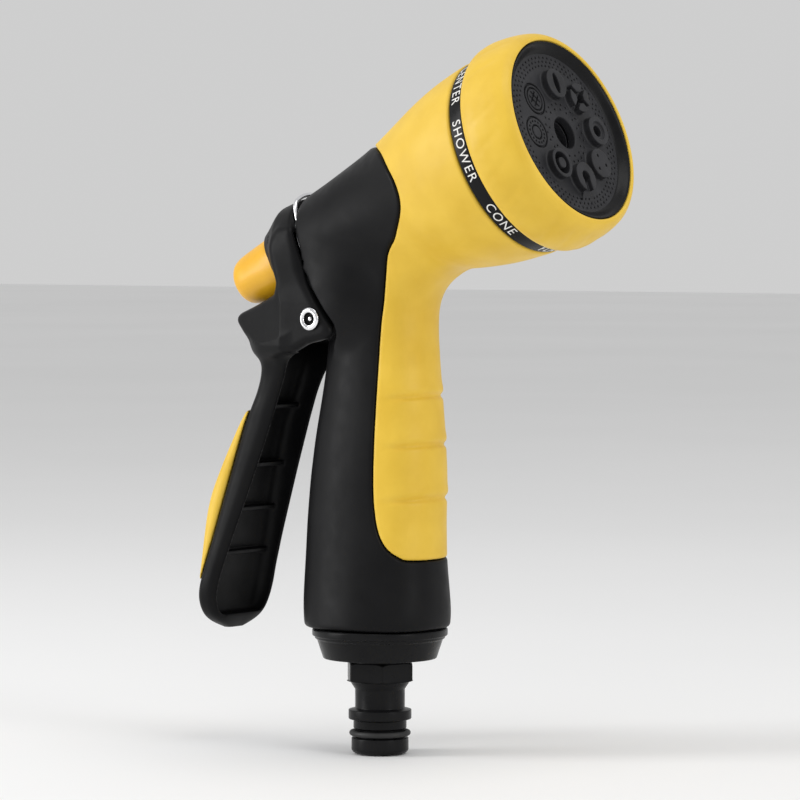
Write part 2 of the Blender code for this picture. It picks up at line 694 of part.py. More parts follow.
def lever():
    """The squeeze lever: one moulding of hood, ears, thumb rest and arm."""
    outline = [
        (0, HOOD_FRONT), (HOOD_RADIUS, HOOD_FRONT), (HOOD_RADIUS, -26.4), (13.5, -27.8),
        (11.2, -31.7), (9.8, -34.6), (0, -34.6),
    ]
    piece = turned("lever", outline, barrel_axis, 36)
    cut(piece, hood_opening())
    join(piece, lever_head(), loft("lever_arm", arm_rings(0), cutter=True))
    cut(piece, arm_hollow(), head_hollow())
    wall_front = HOOD_WALL + HOOD_WALL_THICKNESS
    cut(piece, rod("hood_cavity", HOOD_INNER, wall_front, 0, barrel_axis, 32, cutter=True))
    cut(piece, rod("knob_recess", KNOB_RECESS, -60, HOOD_WALL, barrel_axis, 32, cutter=True))
    slot = wall_slot()
    cut(piece, slot)
    bore = rod("ear_bore", RIVET_RADIUS + GAP, -30, 30, lever_axis, 24, cutter=True, across=True)
    cut(piece, bore)
    return paint(piece, "black_plastic")


def wall_slot():
    """The upright slot in the hood's wall, which lets the stem rise in it as the lever turns."""
    half = STEM_NECK_RADIUS + 0.4
    low, high = on_barrel(-34, -half), on_barrel(-34, 4.0 + half)
    far_high, far_low = on_barrel(-28, 4.0 + half), on_barrel(-28, -half)
    return prism("wall_slot", [low, high, far_high, far_low], half, cutter=True)


def lever_pad():
    """The soft pad that bulges from the back of the arm."""
    rings = []
    for z, bulge in PAD:
        rear, half = arm_value(z, 1), arm_value(z, 3)
        rings.append(oval(z, rear - bulge, rear + 4, half * 0.84, 28, 2.2))
    pad = loft("lever_pad", rings)
    cut(pad, loft("pad_seat", arm_rings(-GAP), cutter=True))
    return paint(pad, "soft_yellow")


def pivot_rivet():
    """The tubular rivet that the lever turns on, flared over both ears."""
    reach = EAR_OUTER + GAP
    outline = [
        (3.1, reach + 0.8), (3.1, reach), (RIVET_RADIUS, reach), (RIVET_RADIUS, -reach),
        (3.1, -reach), (3.1, -reach - 0.8), (1.5, -reach - 0.8), (1.5, reach + 0.8),
    ]
    rivet = turned("pivot_rivet", outline, lever_axis, 20)
    rivet.rotation_euler = (math.pi / 2, 0, 0)
    return paint(rivet, "chrome")


def lock_clip():
    """The wire bail over the barrel, with its ends turned in to their holes."""
    drop = -CLIP_PIVOT_N
    swing = math.pi / 2 + math.asin(drop / CLIP_RADIUS)
    points = [(drop, -9.9), (drop, -12.4)]
    for i in range(25):
        angle = -swing + 2 * swing * i / 24
        points.append((-CLIP_RADIUS * math.cos(angle), CLIP_RADIUS * math.sin(angle)))
    points += [(drop, 12.4), (drop, 9.9)]
    # places on the clip's own axis: x back along the barrel empty's X, z along the barrel
    cos, sin = math.cos(BARREL_TURN), math.sin(BARREL_TURN)
    placed = [((x - drop) * cos, y, -(x - drop) * sin) for x, y in points]
    return paint(wire("lock_clip", placed, CLIP_WIRE, clip_axis, sides=1), "chrome")


# ---- the assembly ------------------------------------------------------------------------------------------
body_shell()
overmould()
handle_collar()
hose_adapter()
plug_o_ring()
inlet_washer()
inlet_filter()
head_bezel()
label_band()
pattern_disc()
distributor_plate()
head_screw()
head_seals()
valve_stem()
valve_seal()
seal_nut()
valve_spring()
gland_nut()
stem_o_ring()
flow_knob()
lever()
lever_pad()
pivot_rivet()
lock_clip()
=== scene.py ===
"""The looks of a hose spray nozzle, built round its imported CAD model.

Shapes are worked out in millimetres and become meshes in metres. The organic mouldings (body, soft skin,
lever, pad and the pattern disc) are distance fields: negative inside, zero on the surface, meshed by
surface(). The turned pieces are profiles spun by lathe(). Everything on the barrel is placed by its
station along the barrel axis and its height above it.
"""

import json
import math

import bmesh
import bpy
import numpy as np
from mathutils import Matrix, Vector


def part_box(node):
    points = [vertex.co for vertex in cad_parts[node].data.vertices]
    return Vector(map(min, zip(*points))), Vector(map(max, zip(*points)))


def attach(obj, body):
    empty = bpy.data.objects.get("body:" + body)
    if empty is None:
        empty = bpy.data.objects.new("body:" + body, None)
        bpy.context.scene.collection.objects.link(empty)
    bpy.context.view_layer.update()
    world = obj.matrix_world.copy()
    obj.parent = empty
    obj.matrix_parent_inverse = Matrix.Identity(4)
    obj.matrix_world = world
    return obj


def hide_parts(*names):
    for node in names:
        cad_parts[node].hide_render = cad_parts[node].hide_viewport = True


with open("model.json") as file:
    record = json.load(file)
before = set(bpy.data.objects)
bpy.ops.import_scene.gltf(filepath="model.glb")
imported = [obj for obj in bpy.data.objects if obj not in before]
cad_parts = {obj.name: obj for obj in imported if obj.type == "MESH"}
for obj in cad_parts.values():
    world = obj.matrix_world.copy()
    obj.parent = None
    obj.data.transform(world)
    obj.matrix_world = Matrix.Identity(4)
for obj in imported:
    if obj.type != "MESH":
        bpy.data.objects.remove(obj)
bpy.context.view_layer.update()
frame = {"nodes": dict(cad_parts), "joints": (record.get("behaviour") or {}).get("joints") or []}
JOINTS = {joint["name"]: joint for joint in frame["joints"]}

MM = 0.001
GAP = 0.3                       # clearance between pieces
SKIN = 2.3                      # thickness of the soft skin
FILLET = 5.0                    # where one big moulded form grows out of another

# the barrel axis and the lever's pivot, from the joints
AXIS = JOINTS["head_turn"]["axis"]
BARREL_Z = JOINTS["head_turn"]["pos_m"][2] / MM
COS, SIN = AXIS[0], AXIS[2]
BARREL_TURN = math.atan2(COS, SIN)
BARREL = Matrix.Translation((0, 0, BARREL_Z * MM)) @ Matrix.Rotation(BARREL_TURN, 4, "Y")
PIVOT_X, PIVOT_Z = (JOINTS["lever_squeeze"]["pos_m"][i] / MM for i in (0, 2))
CLIP_X, CLIP_Z = (JOINTS["lock_clip_flip"]["pos_m"][i] / MM for i in (0, 2))

# the lever's rivet, its ears, and the lug and the boss that the ears stand beside
RIVET_RADIUS, RIVET_HEAD = 2.3, 3.1
RIVET_SHADE_RING = (0.7, 1.65)      # the ring of the rivet's head painted black as the shade in its groove, inner and outer radius
EAR_INNER, EAR_OUTER = 13.5, 16.2
LUG_RADIUS, LUG_HALF_WIDTH = 5.6, 12.9
CHEEK_RADIUS, CHEEK_HALF_WIDTH = 12.5, 16.0

# stations and radii on the barrel
BARREL_REAR = -18.5
HEAD_START, BAND_END = 47.2, 51.3
DISC_BACK, FACE_BACK, DISC_FACE, HEAD_FRONT = 61.3, 61.6, 64.3, 66.9
DISC_RADIUS = 25.0
BAND_RADIUS = 27.3
OPENING_RADIUS = 25.3
DISH_SHADE_EDGE = 22.3                # outside this radius the disc gets the smooth black: glossier, and darker as painted shade on the rim wall
PATTERN_CIRCLE = 13.2
POST_TOP, POST_RADIUS = 66.5, 4.1
HOOD_EDGE, HOOD_RADIUS, HOOD_INNER = -20.2, 14.2, 12.0
HOOD_WALL, HOOD_WALL_THICKNESS = -31.4, 1.6
CORE_RADIUS, CORE_END = 10.4, -29.3
KNOB_FRONT, KNOB_END, KNOB_RECESS = -31.7, -49.4, 9.2
CHAMBER_RADIUS, SEAT = 9.0, 15.1
CHANNEL_START, CHANNEL_END = 17.1, 34      # the waterway flares between these stations
PORT_START, PORT_RADIUS = 40.3, 4.3
DETENT_START, DETENT_RADIUS, DETENT_TRACK = 41.3, 1.9, 20.5
HUB_RADIUS, HUB_START, HUB_END = 5.0, 43, 53.8
SCREW_RADIUS = 1.9

# radii and heights in the handle and at its end
WATERWAY_RADIUS, WATERWAY_TOP = 6.2, 143
SOCKET_RADIUS, SOCKET_TOP = 8.5, 42
COLLAR_BOTTOM, COLLAR_TOP = 25.9, 34.1
HEX_BOTTOM, HEX_TOP, HEX_APOTHEM = 19.7, 24.7, 8.5
HEX_TURN = math.radians(10)

# the wire clip stands proud over the top, and sinks into the seam at the sides
CLIP_RADIUS, CLIP_WIRE = 14.9, 0.6
CLIP_ARCH, CLIP_SINK = 0.5, 2.8

HANDLE_BOTTOM, HANDLE_TOP = 34.4, 136.5
# handle sections, bottom to top: height, rear x, front x, half width
HANDLE = [
    (34.0, -20.4, 18.6, 18.0), (38.0, -21.2, 19.4, 17.7), (44.0, -21.4, 19.2, 16.9),
    (53.0, -21.1, 18.6, 15.9), (64.0, -20.6, 18.6, 15.4), (75.0, -19.6, 19.0, 15.1),
    (86.0, -18.1, 18.6, 14.4), (98.0, -15.8, 17.7, 13.5), (106.0, -14.5, 17.0, 13.0),
    (114.0, -13.7, 16.4, 12.9), (120.0, -13.5, 16.4, 12.9), (124.0, -13.5, 17.2, 12.9),
    (127.5, -13.5, 19.4, 12.9), (130.0, -13.5, 22.4, 12.9), (133.0, -13.5, 27.0, 12.9),
    (137.0, -13.5, 27.5, 12.9),
]
# barrel and neck outline: station, radius
BARREL_ROWS = [
    (-30, 12.2), (-18.5, 14.1), (-10, 15.2), (0, 16.9), (6, 17.9), (13, 19.6), (20, 21.8),
    (27, 24.0), (34, 25.8), (40, 26.8), (46.9, 27.5), (52, 27.9),
]
# front edge of the black body from the side (x, z), from the handle's front up and over the barrel
SEAM = [
    (34, 53.6), (17, 53.6), (13.8, 54.6), (11.0, 57.2), (9.0, 61.5), (7.9, 68), (7.5, 78), (7.6, 95),
    (8.2, 112), (9.2, 122), (12.0, 135), (17.2, 141), (21.2, 146.5), (22.3, 150.5), (21.2, 154.4),
    (18.4, 158), (13.4, 162.3), (7.5, 164.6), (0.5, 165.6), (-4, 169), (-6, 215),
]
GROOVES = (98.0, 84.7, 70.2)    # heights of the finger grooves in the skin
GROOVE_DEPTH, GROOVE_WIDTH, GROOVE_SLOPE = 0.75, 0.75, 0.10
# lever arm sections, bottom to top: height, rear x, front x, half width
ARM = [
    (31.7, -51.6, -49.0, 3.4), (33.2, -53.2, -47.4, 8.6), (36.0, -53.9, -46.6, 12.2),
    (40.0, -54.1, -45.9, 14.2), (44.0, -53.6, -44.9, 14.6), (48.0, -52.4, -43.9, 14.2),
    (57.0, -49.8, -40.9, 13.3), (67.0, -47.2, -37.2, 12.3), (77.0, -44.3, -33.6, 11.4),
    (90.0, -40.3, -29.0, 10.6), (98.0, -36.3, -26.4, 10.5), (102.5, -34.8, -24.4, 10.8),
    (106.0, -34.2, -22.6, 11.8), (109.0, -34.4, -20.2, 13.4), (111.0, -34.8, -18.0, 14.8),
]
ARM_RIBS = (93.7, 77.4, 65.1, 52.8)
ARM_WALL = 2.1
RIB_HALF_WIDTH = 0.6
RIB_REACH = 0.32                # share of the channel's depth that the ribs fill
CHANNEL_BOTTOM, CHANNEL_TOP = 35.6, 111.4
# how far the pad stands out behind the arm: height, bulge
PAD = [
    (45.5, 0.9), (47.5, 1.5), (51.0, 2.6), (57.0, 4.4), (64.0, 5.9), (70.0, 6.2), (78.0, 4.9),
    (86.0, 3.0), (92.8, 1.1),
]
PAD_WIDTH = 0.93                # share of the arm's width
# the lever's head from the side: ears, thumb rest and the saddle under the knob
LEVER_HEAD = [
    (-20.5, 141.6), (-16.9, 132.3), (-12.6, 126.2), (-8.4, 120.2), (-5.4, 116.2), (-5.4, 113.9),
    (-8.0, 112.9), (-13.5, 111.6), (-18.2, 109.2), (-34.8, 109.2), (-36.2, 111.0),
    (-39.6, 113.9), (-42.6, 117.0), (-42.8, 118.3), (-41.2, 119.6), (-33.8, 122.0), (-25.6, 125.1),
    (-24.2, 128.5), (-25.2, 133.0), (-25.8, 137.8), (-24.2, 141.6),
]


# ---- distance fields ----
def smooth_max(a, b, radius):
    """The overlap of two fields, with its edge rounded."""
    blend = np.maximum(radius - np.abs(a - b), 0) / radius
    return np.maximum(a, b) + blend * blend * radius * 0.25


def smooth_min(a, b, radius):
    """The join of two fields, with a fillet."""
    return -smooth_max(-a, -b, radius)


def without(a, b, radius=0.5):
    """One field with another cut out of it, with its edge rounded."""
    return smooth_max(a, -b, radius)


def along(x, z):
    """Station along the barrel axis, and height above it."""
    return x * COS + (z - BARREL_Z) * SIN, -x * SIN + (z - BARREL_Z) * COS


def on_barrel(station, above=0.0):
    """The x and z of a place given along and above the barrel axis."""
    return station * COS - above * SIN, BARREL_Z + station * SIN + above * COS


def smoothed(values, cells):
    """A running mean that keeps the slope at the ends."""
    padded = np.pad(values, cells, mode="reflect", reflect_type="odd")
    kernel = np.ones(2 * cells + 1) / (2 * cells + 1)
    return np.convolve(padded, kernel, mode="valid")


class Rows:
    """Values in rows by height or station, read between the rows as a smooth curve."""

    STEP = 0.25

    def __init__(self, table, soften):
        places = [row[0] for row in table]
        self.places = np.arange(places[0], places[-1] + self.STEP / 2, self.STEP)
        cells = max(1, int(soften / self.STEP / 2))
        self.columns = []
        for column in range(1, len(table[0])):
            values = np.interp(self.places, places, [row[column] for row in table])
            self.columns.append(smoothed(smoothed(values, cells), cells))

    def __call__(self, place):
        return [np.interp(place, self.places, values) for values in self.columns]


class Outline:
    """The distance to a closed outline, looked up in a softened table."""

    STEP = 0.3
    MARGIN = 9.0

    def __init__(self, points, soften=0.0):
        points = np.array(points, float)
        self.low = points.min(0) - self.MARGIN
        size = np.ceil((points.max(0) + self.MARGIN - self.low) / self.STEP).astype(int) + 1
        x = self.low[0] + self.STEP * np.arange(size[0])[:, None]
        z = self.low[1] + self.STEP * np.arange(size[1])[None, :]
        nearest = np.full(size, 1e9)
        inside = np.zeros(size, bool)
        for (ax, az), (bx, bz) in zip(points, np.roll(points, -1, axis=0)):
            dx, dz = bx - ax, bz - az
            share = np.clip(((x - ax) * dx + (z - az) * dz) / (dx * dx + dz * dz), 0, 1)
            nearest = np.minimum(nearest, (x - ax - share * dx) ** 2 + (z - az - share * dz) ** 2)
            if az != bz:
                inside ^= ((az > z) != (bz > z)) & (x < ax + (z - az) * dx / dz)
        table = np.sqrt(nearest) * np.where(inside, -1, 1)
        cells = int(soften / self.STEP / 2)
        if cells:
            for axis in (0, 1, 0, 1):
                table = np.apply_along_axis(smoothed, axis, table, cells)
        self.table = table

    def __call__(self, x, z):
        u = np.clip((x - self.low[0]) / self.STEP, 0, self.table.shape[0] - 1.001)
        v = np.clip((z - self.low[1]) / self.STEP, 0, self.table.shape[1] - 1.001)
        i, j = u.astype(int), v.astype(int)
        u, v = u - i, v - j
        t = self.table
        return (
            t[i, j] * (1 - u) * (1 - v) + t[i + 1, j] * u * (1 - v)
            + t[i, j + 1] * (1 - u) * v + t[i + 1, j + 1] * u * v
        )


def curve_through(points, steps=8):
    """A smooth open line through points (Catmull-Rom)."""
    padded = np.array([points[0], *points, points[-1]], float)
    line = []
    for a, b, c, d in zip(padded, padded[1:], padded[2:], padded[3:]):
        for i in range(steps):
            t = i / steps
            line.append(0.5 * (2 * b + (c - a) * t + (2 * a - 5 * b + 4 * c - d) * t**2
                               + (3 * b - a - 3 * c + d) * t**3))
    return line + [padded[-1]]


def oval(x, y, rear, front, half_width, power):
    """A rounded section. A higher power is squarer."""
    middle, reach = (rear + front) / 2, (front - rear) / 2
    scale = (np.abs((x - middle) / reach) ** power + np.abs(y / half_width) ** power) ** (1 / power)
    radius = np.sqrt((x - middle) ** 2 + y**2)
    return radius - radius / np.maximum(scale, 0.05)


def cylinder(across, height, radius, low, high):
    """A cylinder from its distance across and its height."""
    return np.maximum(across - radius, np.maximum(low - height, height - high))


# ---- meshes ----
CORNERS = np.array([(i, j, k) for i in (0, 1) for j in (0, 1) for k in (0, 1)])
EDGES = [(a, b) for a in range(8) for b in range(a + 1, 8) if abs(CORNERS[a] - CORNERS[b]).sum() == 1]


def nets(field, low, high, cell):
    """Vertices and quads of surface nets: one vertex in each cell that the surface passes through."""
    low = np.array(low, float)
    count = np.ceil((np.array(high) - low) / cell).astype(int) + 1
    x, y, z = (low[i] + cell * np.arange(count[i]) for i in range(3))
    values = field(x[:, None, None], y[None, :, None], z[None, None, :])
    values = np.broadcast_to(values, tuple(count)).astype(np.float32)
    inside = values < 0
    total = sum(
        inside[i:count[0] - 1 + i, j:count[1] - 1 + j, k:count[2] - 1 + k].astype(np.int8)
        for i, j, k in CORNERS
    )
    cells = np.argwhere((total > 0) & (total < 8))
    at = [values[cells[:, 0] + i, cells[:, 1] + j, cells[:, 2] + k] for i, j, k in CORNERS]
    places = np.zeros((len(cells), 3))
    crossings = np.zeros(len(cells))
    for a, b in EDGES:
        crossed = (at[a] < 0) != (at[b] < 0)
        share = at[a][crossed] / (at[a][crossed] - at[b][crossed])
        places[crossed] += CORNERS[a] + share[:, None] * (CORNERS[b] - CORNERS[a])
        crossings[crossed] += 1
    verts = low + cell * (cells + places / crossings[:, None])
    number = np.full(tuple(count - 1), -1, np.int32)
    number[tuple(cells.T)] = np.arange(len(cells))
    quads = []
    for axis in range(3):
        step = np.eye(3, dtype=int)[axis]
        one, two = np.eye(3, dtype=int)[(axis + 1) % 3], np.eye(3, dtype=int)[(axis + 2) % 3]
        limit = [slice(0, n) for n in count - step]
        beyond = [slice(s, n) for s, n in zip(step, count)]
        edges = np.argwhere(inside[tuple(limit)] != inside[tuple(beyond)])
        across = [(axis + 1) % 3, (axis + 2) % 3]
        has_ring = (edges[:, across] > 0) & (edges[:, across] < (count - 1)[across])
        edges = edges[np.all(has_ring, axis=1)]
        ring = [number[tuple((edges - shift).T)] for shift in (one + two, two, 0 * one, one)]
        quad = np.stack(ring, axis=1)
        outward = inside[tuple(edges.T)]
        quad[~outward] = quad[~outward][:, ::-1]
        quads.append(quad)
    return verts, np.concatenate(quads)


def slope(field, points, reach=0.04):
    """The field and its gradient at points."""
    gradient = np.empty_like(points)
    for axis in range(3):
        step = np.zeros(3)
        step[axis] = reach
        ahead, behind = points + step, points - step
        gradient[:, axis] = (field(*ahead.T) - field(*behind.T)) / (2 * reach)
    return field(*points.T), gradient


def surface(name, field, low, high, cell, place=None):
    """A closed mesh on a field's zero level, from low to high, with cells of the given size."""
    verts, quads = nets(field, low, high, cell)
    for _ in range(3):
        value, gradient = slope(field, verts)
        length = np.maximum((gradient**2).sum(1), 0.05)
        verts -= np.clip(value / length, -cell * 0.4, cell * 0.4)[:, None] * gradient
    return mesh_object(name, verts, quads, place)


def mesh_object(name, verts, quads, place=None):
    """A smooth-shaded object from vertices in millimetres and faces of four corners."""
    mesh = bpy.data.meshes.new(name)
    mesh.vertices.add(len(verts))
    mesh.vertices.foreach_set("co", (np.asarray(verts, np.float32) * MM).ravel())
    mesh.loops.add(quads.size)
    mesh.loops.foreach_set("vertex_index", quads.astype(np.int32).ravel())
    mesh.polygons.add(len(quads))
    mesh.polygons.foreach_set("loop_start", np.arange(0, quads.size, 4, dtype=np.int32))
    mesh.update(calc_edges=True)
    mesh.validate()
    if place is not None:
        mesh.transform(place)
    mesh.shade_smooth()
    obj = bpy.data.objects.new(name, mesh)
    bpy.context.scene.collection.objects.link(obj)
    return obj


def rounded(points, radius, closed):
    """A profile with an arc in place of each corner."""
    line = []
    count = len(points)
    for i, point in enumerate(points):
        if not closed and i in (0, count - 1):
            line.append(point)
            continue
        here = np.array(point, float)
        back = np.array(points[i - 1], float) - here
        ahead = np.array(points[(i + 1) % count], float) - here
        reach = min(radius, np.linalg.norm(back) * 0.45, np.linalg.norm(ahead) * 0.45)
        start = here + back / np.linalg.norm(back) * reach
        end = here + ahead / np.linalg.norm(ahead) * reach
        for t in np.linspace(0, 1, 5):
            line.append(tuple((1 - t) ** 2 * start + 2 * t * (1 - t) * here + t * t * end))
    return line


def lathe(name, points, steps=160, corner=0.35, place=None, shape=None):
    """A turned piece from points of radius and height, down its outside and back up any bore.

    shape(radius, height, angle) may change the radius round the turn.
    """
    closed = points[0][0] > 0
    line = np.array(rounded(points, corner, closed))
    angle = 2 * math.pi * np.arange(steps) / steps
    radius = np.repeat(line[:, :1], steps, axis=1)
    height = np.repeat(line[:, 1:], steps, axis=1)
    if shape:
        radius = shape(radius, height, angle[None, :])
    verts = np.stack([radius * np.cos(angle), radius * np.sin(angle), height], axis=2).reshape(-1, 3)
    rows = len(line)
    quads = []
    i = np.arange(steps)
    j = (i + 1) % steps
    for row in range(rows if closed else rows - 1):
        here, below = row * steps, (row + 1) % rows * steps
        quads.append(np.stack([here + i, below + i, below + j, here + j], axis=1))
    return finished(mesh_object(name, verts, np.concatenate(quads), place), weld_poles)


def weld_poles(bm):
    """Joins the points that a turned piece has on its axis."""
    bmesh.ops.remove_doubles(bm, verts=bm.verts, dist=1e-7)
    bmesh.ops.dissolve_degenerate(bm, edges=bm.edges, dist=1e-7)


def close_ends(bm):
    """Closes the small open rings at the ends of a tube."""
    bmesh.ops.holes_fill(bm, edges=bm.edges, sides=0)


def finished(obj, change):
    """Makes a change to an object's mesh, and turns its faces outward."""
    bm = bmesh.new()
    bm.from_mesh(obj.data)
    change(bm)
    bmesh.ops.recalc_face_normals(bm, faces=bm.faces)
    bm.to_mesh(obj.data)
    bm.free()
    obj.data.shade_smooth()
    return obj


def tube(name, points, radius, place=None, sides=16):
    """A round wire through points in millimetres, with domed ends."""
    points = np.array(points, float)
    ahead = np.gradient(points, axis=0)
    ahead /= np.linalg.norm(ahead, axis=1)[:, None]
    side = np.cross(ahead, (0.0, 0.0, 1.0))
    side /= np.linalg.norm(side, axis=1)[:, None]
    third = np.cross(ahead, side)
    caps = np.array([0.02, 0.5, 0.87])
    start = [(points[0] - ahead[0] * radius * math.sqrt(1 - c * c), c, 0) for c in caps]
    end = [(points[-1] + ahead[-1] * radius * math.sqrt(1 - c * c), c, -1) for c in caps[::-1]]
    stations = start + [(point, 1.0, i) for i, point in enumerate(points)] + end
    angle = 2 * math.pi * np.arange(sides) / sides
    verts = []
    for middle, share, i in stations:
        ring = np.outer(np.cos(angle), side[i]) + np.outer(np.sin(angle), third[i])
        verts.append(middle + ring * radius * share)
    quads = []
    i = np.arange(sides)
    j = (i + 1) % sides
    for row in range(len(stations) - 1):
        here, above = row * sides, (row + 1) * sides
        quads.append(np.stack([here + i, here + j, above + j, above + i], axis=1))
    return finished(mesh_object(name, np.concatenate(verts), np.concatenate(quads), place), close_ends)


# ---- body and skin ----
handle_rows = Rows(HANDLE, 5)
barrel_rows = Rows(BARREL_ROWS, 7)
# everything in front of the seam
skin_outline = Outline(curve_through(SEAM) + [(95, 215), (95, 53.6)], 1.0)
# everything behind the barrel's rear end
rear_outline = Outline([
    on_barrel(-16.8, 20), on_barrel(-17.4, 13), on_barrel(BARREL_REAR, 8), on_barrel(BARREL_REAR, -3.0),
    (-15.4, 133.6), (-15.0, 131.8), (-11.8, 126.8), (-9.8, 123.4), (-40, 123.4), (-60, 150), (-40, 180),
], 0.6)
# everything behind the front edge of the lever's ears, with room for its swing
ear_space = Outline([
    (-17.0, 137.0), (-15.4, 133.0), (-11.6, 127.0), (-7.4, 121.0), (-4.4, 117.4), (-3.7, 113.6),
    (-4.6, 111.6), (-3.0, 104), (-40, 100), (-40, 150),
], 0.4)


def handle_field(x, y, z):
    """The handle, up into the barrel."""
    rear, front, half_width = handle_rows(z)
    sides = oval(x, y, rear, front, half_width, 2.3)
    return smooth_max(smooth_max(sides, HANDLE_BOTTOM - z, 1.4), z - HANDLE_TOP, 1.0)


def barrel_field(x, y, z):
    """The barrel and the flared neck, cut off square behind the head."""
    station, above = along(x, z)
    (radius,) = barrel_rows(station)
    side = (np.sqrt(above**2 + y**2) - radius) * 0.97   # the flare makes the radius overstate the distance
    return smooth_max(side, station - (HEAD_START - GAP), 0.8)


def outer_field(x, y, z):
    """Handle and barrel with the fillet between them, before the seams are cut."""
    station, _ = along(x, z)
    barrel = np.maximum(barrel_field(x, y, z), BARREL_REAR - station)
    return smooth_min(handle_field(x, y, z), barrel, FILLET)


def pivot_lug(x, y, z):
    """The lug that carries the rivet between the lever's ears."""
    across = np.sqrt((x - PIVOT_X) ** 2 + (z - PIVOT_Z) ** 2)
    return cylinder(across, y, LUG_RADIUS, -LUG_HALF_WIDTH, LUG_HALF_WIDTH)


def cheek(x, y, z):
    """The broad boss in front of the lever's ears, level with their outer faces."""
    across = np.sqrt((x - PIVOT_X - 3.0) ** 2 + (z - PIVOT_Z - 5.5) ** 2)
    boss = smooth_max(across - CHEEK_RADIUS, np.abs(y) - CHEEK_HALF_WIDTH, 11.0)
    return without(boss, ear_space(x, z), 0.6)


def inner_spaces(x, y, z):
    """The valve chamber, the waterway, and the holes for the rivet, the clip, the port and the detent."""
    station, above = along(x, z)
    rho = np.sqrt(above**2 + y**2)
    spaces = cylinder(rho, station, CHAMBER_RADIUS, CORE_END - 2, SEAT)
    spaces = np.minimum(spaces, cylinder(rho, station, 5.5, SEAT - 1, 18))
    cone = rho - (7.5 + (station - CHANNEL_START) * 0.6)
    flare = np.maximum(cone, cylinder(rho, station, 16, CHANNEL_START, CHANNEL_END))
    spaces = np.minimum(spaces, flare)
    upright = np.sqrt(x**2 + y**2)
    spaces = np.minimum(spaces, cylinder(upright, z, WATERWAY_RADIUS, SOCKET_TOP - 1, WATERWAY_TOP))
    spaces = np.minimum(spaces, cylinder(upright, z, SOCKET_RADIUS, 30, SOCKET_TOP))
    rivet = np.sqrt((x - PIVOT_X) ** 2 + (z - PIVOT_Z) ** 2) - (RIVET_RADIUS + GAP)
    spaces = np.minimum(spaces, rivet)
    clip = np.sqrt((x - CLIP_X) ** 2 + (z - CLIP_Z) ** 2) - (CLIP_WIRE + GAP)
    spaces = np.minimum(spaces, np.maximum(clip, 9.5 - np.abs(y)))
    port = np.sqrt((above + PATTERN_CIRCLE) ** 2 + y**2)
    spaces = np.minimum(spaces, cylinder(port, station, PORT_RADIUS, PORT_START, 50))
    detent = np.sqrt((above - DETENT_TRACK) ** 2 + y**2)
    return np.minimum(spaces, cylinder(detent, station, DETENT_RADIUS, DETENT_START, 50))


def body_field(x, y, z):
    """The black body: the full form behind the seam, and a core under the skin."""
    station, above = along(x, z)
    rho = np.sqrt(above**2 + y**2)
    barrel = without(barrel_field(x, y, z), rear_outline(x, z), 0.8)
    full = smooth_min(handle_field(x, y, z), barrel, FILLET)
    solid = np.minimum(without(full, skin_outline(x, z) - GAP, 0.7), full + SKIN + GAP)
    solid = np.minimum(solid, cylinder(rho, station, CORE_RADIUS, CORE_END, 4))
    solid = smooth_min(solid, cheek(x, y, z), FILLET)
    solid = smooth_min(solid, pivot_lug(x, y, z), 0.8)
    boss = np.sqrt((x - CLIP_X) ** 2 + (z - CLIP_Z) ** 2)
    solid = np.minimum(solid, cylinder(boss, np.abs(y), 1.6, -1, 10.6))
    solid = np.minimum(solid, cylinder(rho, station, HUB_RADIUS, HUB_START, HUB_END))
    solid = np.maximum(solid, -cylinder(rho, station, SCREW_RADIUS, HUB_START + 1, 60))
    return np.maximum(solid, -inner_spaces(x, y, z))


def groove_depth(x, y, z):
    """The shallow grooves between the fingers, across the front of the skin."""
    reach = np.clip((x - 9.0) / 5.0, 0, 1) * np.clip((15.5 - np.abs(y)) / 5.0, 0, 1)
    depth = 0.0
    for height in GROOVES:
        offset = (z - height + GROOVE_SLOPE * (18.5 - x)) / GROOVE_WIDTH
        depth = depth + np.exp(-offset * offset) - 0.3 * np.exp(-((offset - 2.6) ** 2) / 4)
    return GROOVE_DEPTH * reach * depth


def skin_field(x, y, z):
    """The soft skin in front of the seam."""
    outside = outer_field(x, y, z)
    skin = smooth_max(outside + groove_depth(x, y, z), skin_outline(x, z), 1.0)
    return np.maximum(skin, -(outside + SKIN))


# ---- lever and pad ----
arm_rows = Rows(ARM, 3)
pad_rows = Rows(PAD, 4)
head_outline = Outline(LEVER_HEAD, 1.6)
hollow_outline = Outline([
    (10, 100), (-16.4, 100), (-16.8, 108.0), (-19.6, 110.7), (-33.4, 111.6), (-39.6, 116.4),
    (-41.0, 117.6), (-34.0, 119.8), (-27.0, 122.2), (-22.6, 124.0), (-22.6, 142), (10, 142),
], 0.8)
# half widths of the lever's head: outside by x and by z, inside by x
OUTER_PLAN = ([-46, -44.2, -42.0, -36, -29, -22, 0], [4.5, 7.0, 9.4, 11.2, 13.6, EAR_OUTER, EAR_OUTER])
OUTER_RISE = ([112, 123, 129, 135, 142], [EAR_OUTER, EAR_OUTER, 15.5, 14.4, 13.6])
INNER_PLAN = ([-46, -41.5, -36, -29, -22, 30], [5, 7.0, 9.0, 11.2, EAR_INNER, EAR_INNER])
# the hood as a turned form: station, radius
hood_outline = Outline([
    (HOOD_EDGE, -3), (HOOD_EDGE, HOOD_RADIUS), (-26.4, HOOD_RADIUS), (-27.8, 13.5), (-31.7, 11.2),
    (-34.6, 9.8), (-34.6, -3),
], 0.6)
# everything behind the hood's slanted rear
mouth_outline = Outline([
    on_barrel(-34.6, 9.5), on_barrel(-31.6, 0), on_barrel(-30.4, -8.5), (-60, 120), (-60, 160),
], 0.8)


def arm_field(x, y, z, grow=0.0):
    """The arm as a full bar, before its channel is cut."""
    rear, front, half_width = arm_rows(z)
    sides = oval(x, y, rear - grow, front + grow, half_width + grow, 3.2)
    return np.maximum(sides, np.maximum(ARM[0][0] - grow - z, z - ARM[-1][0]))


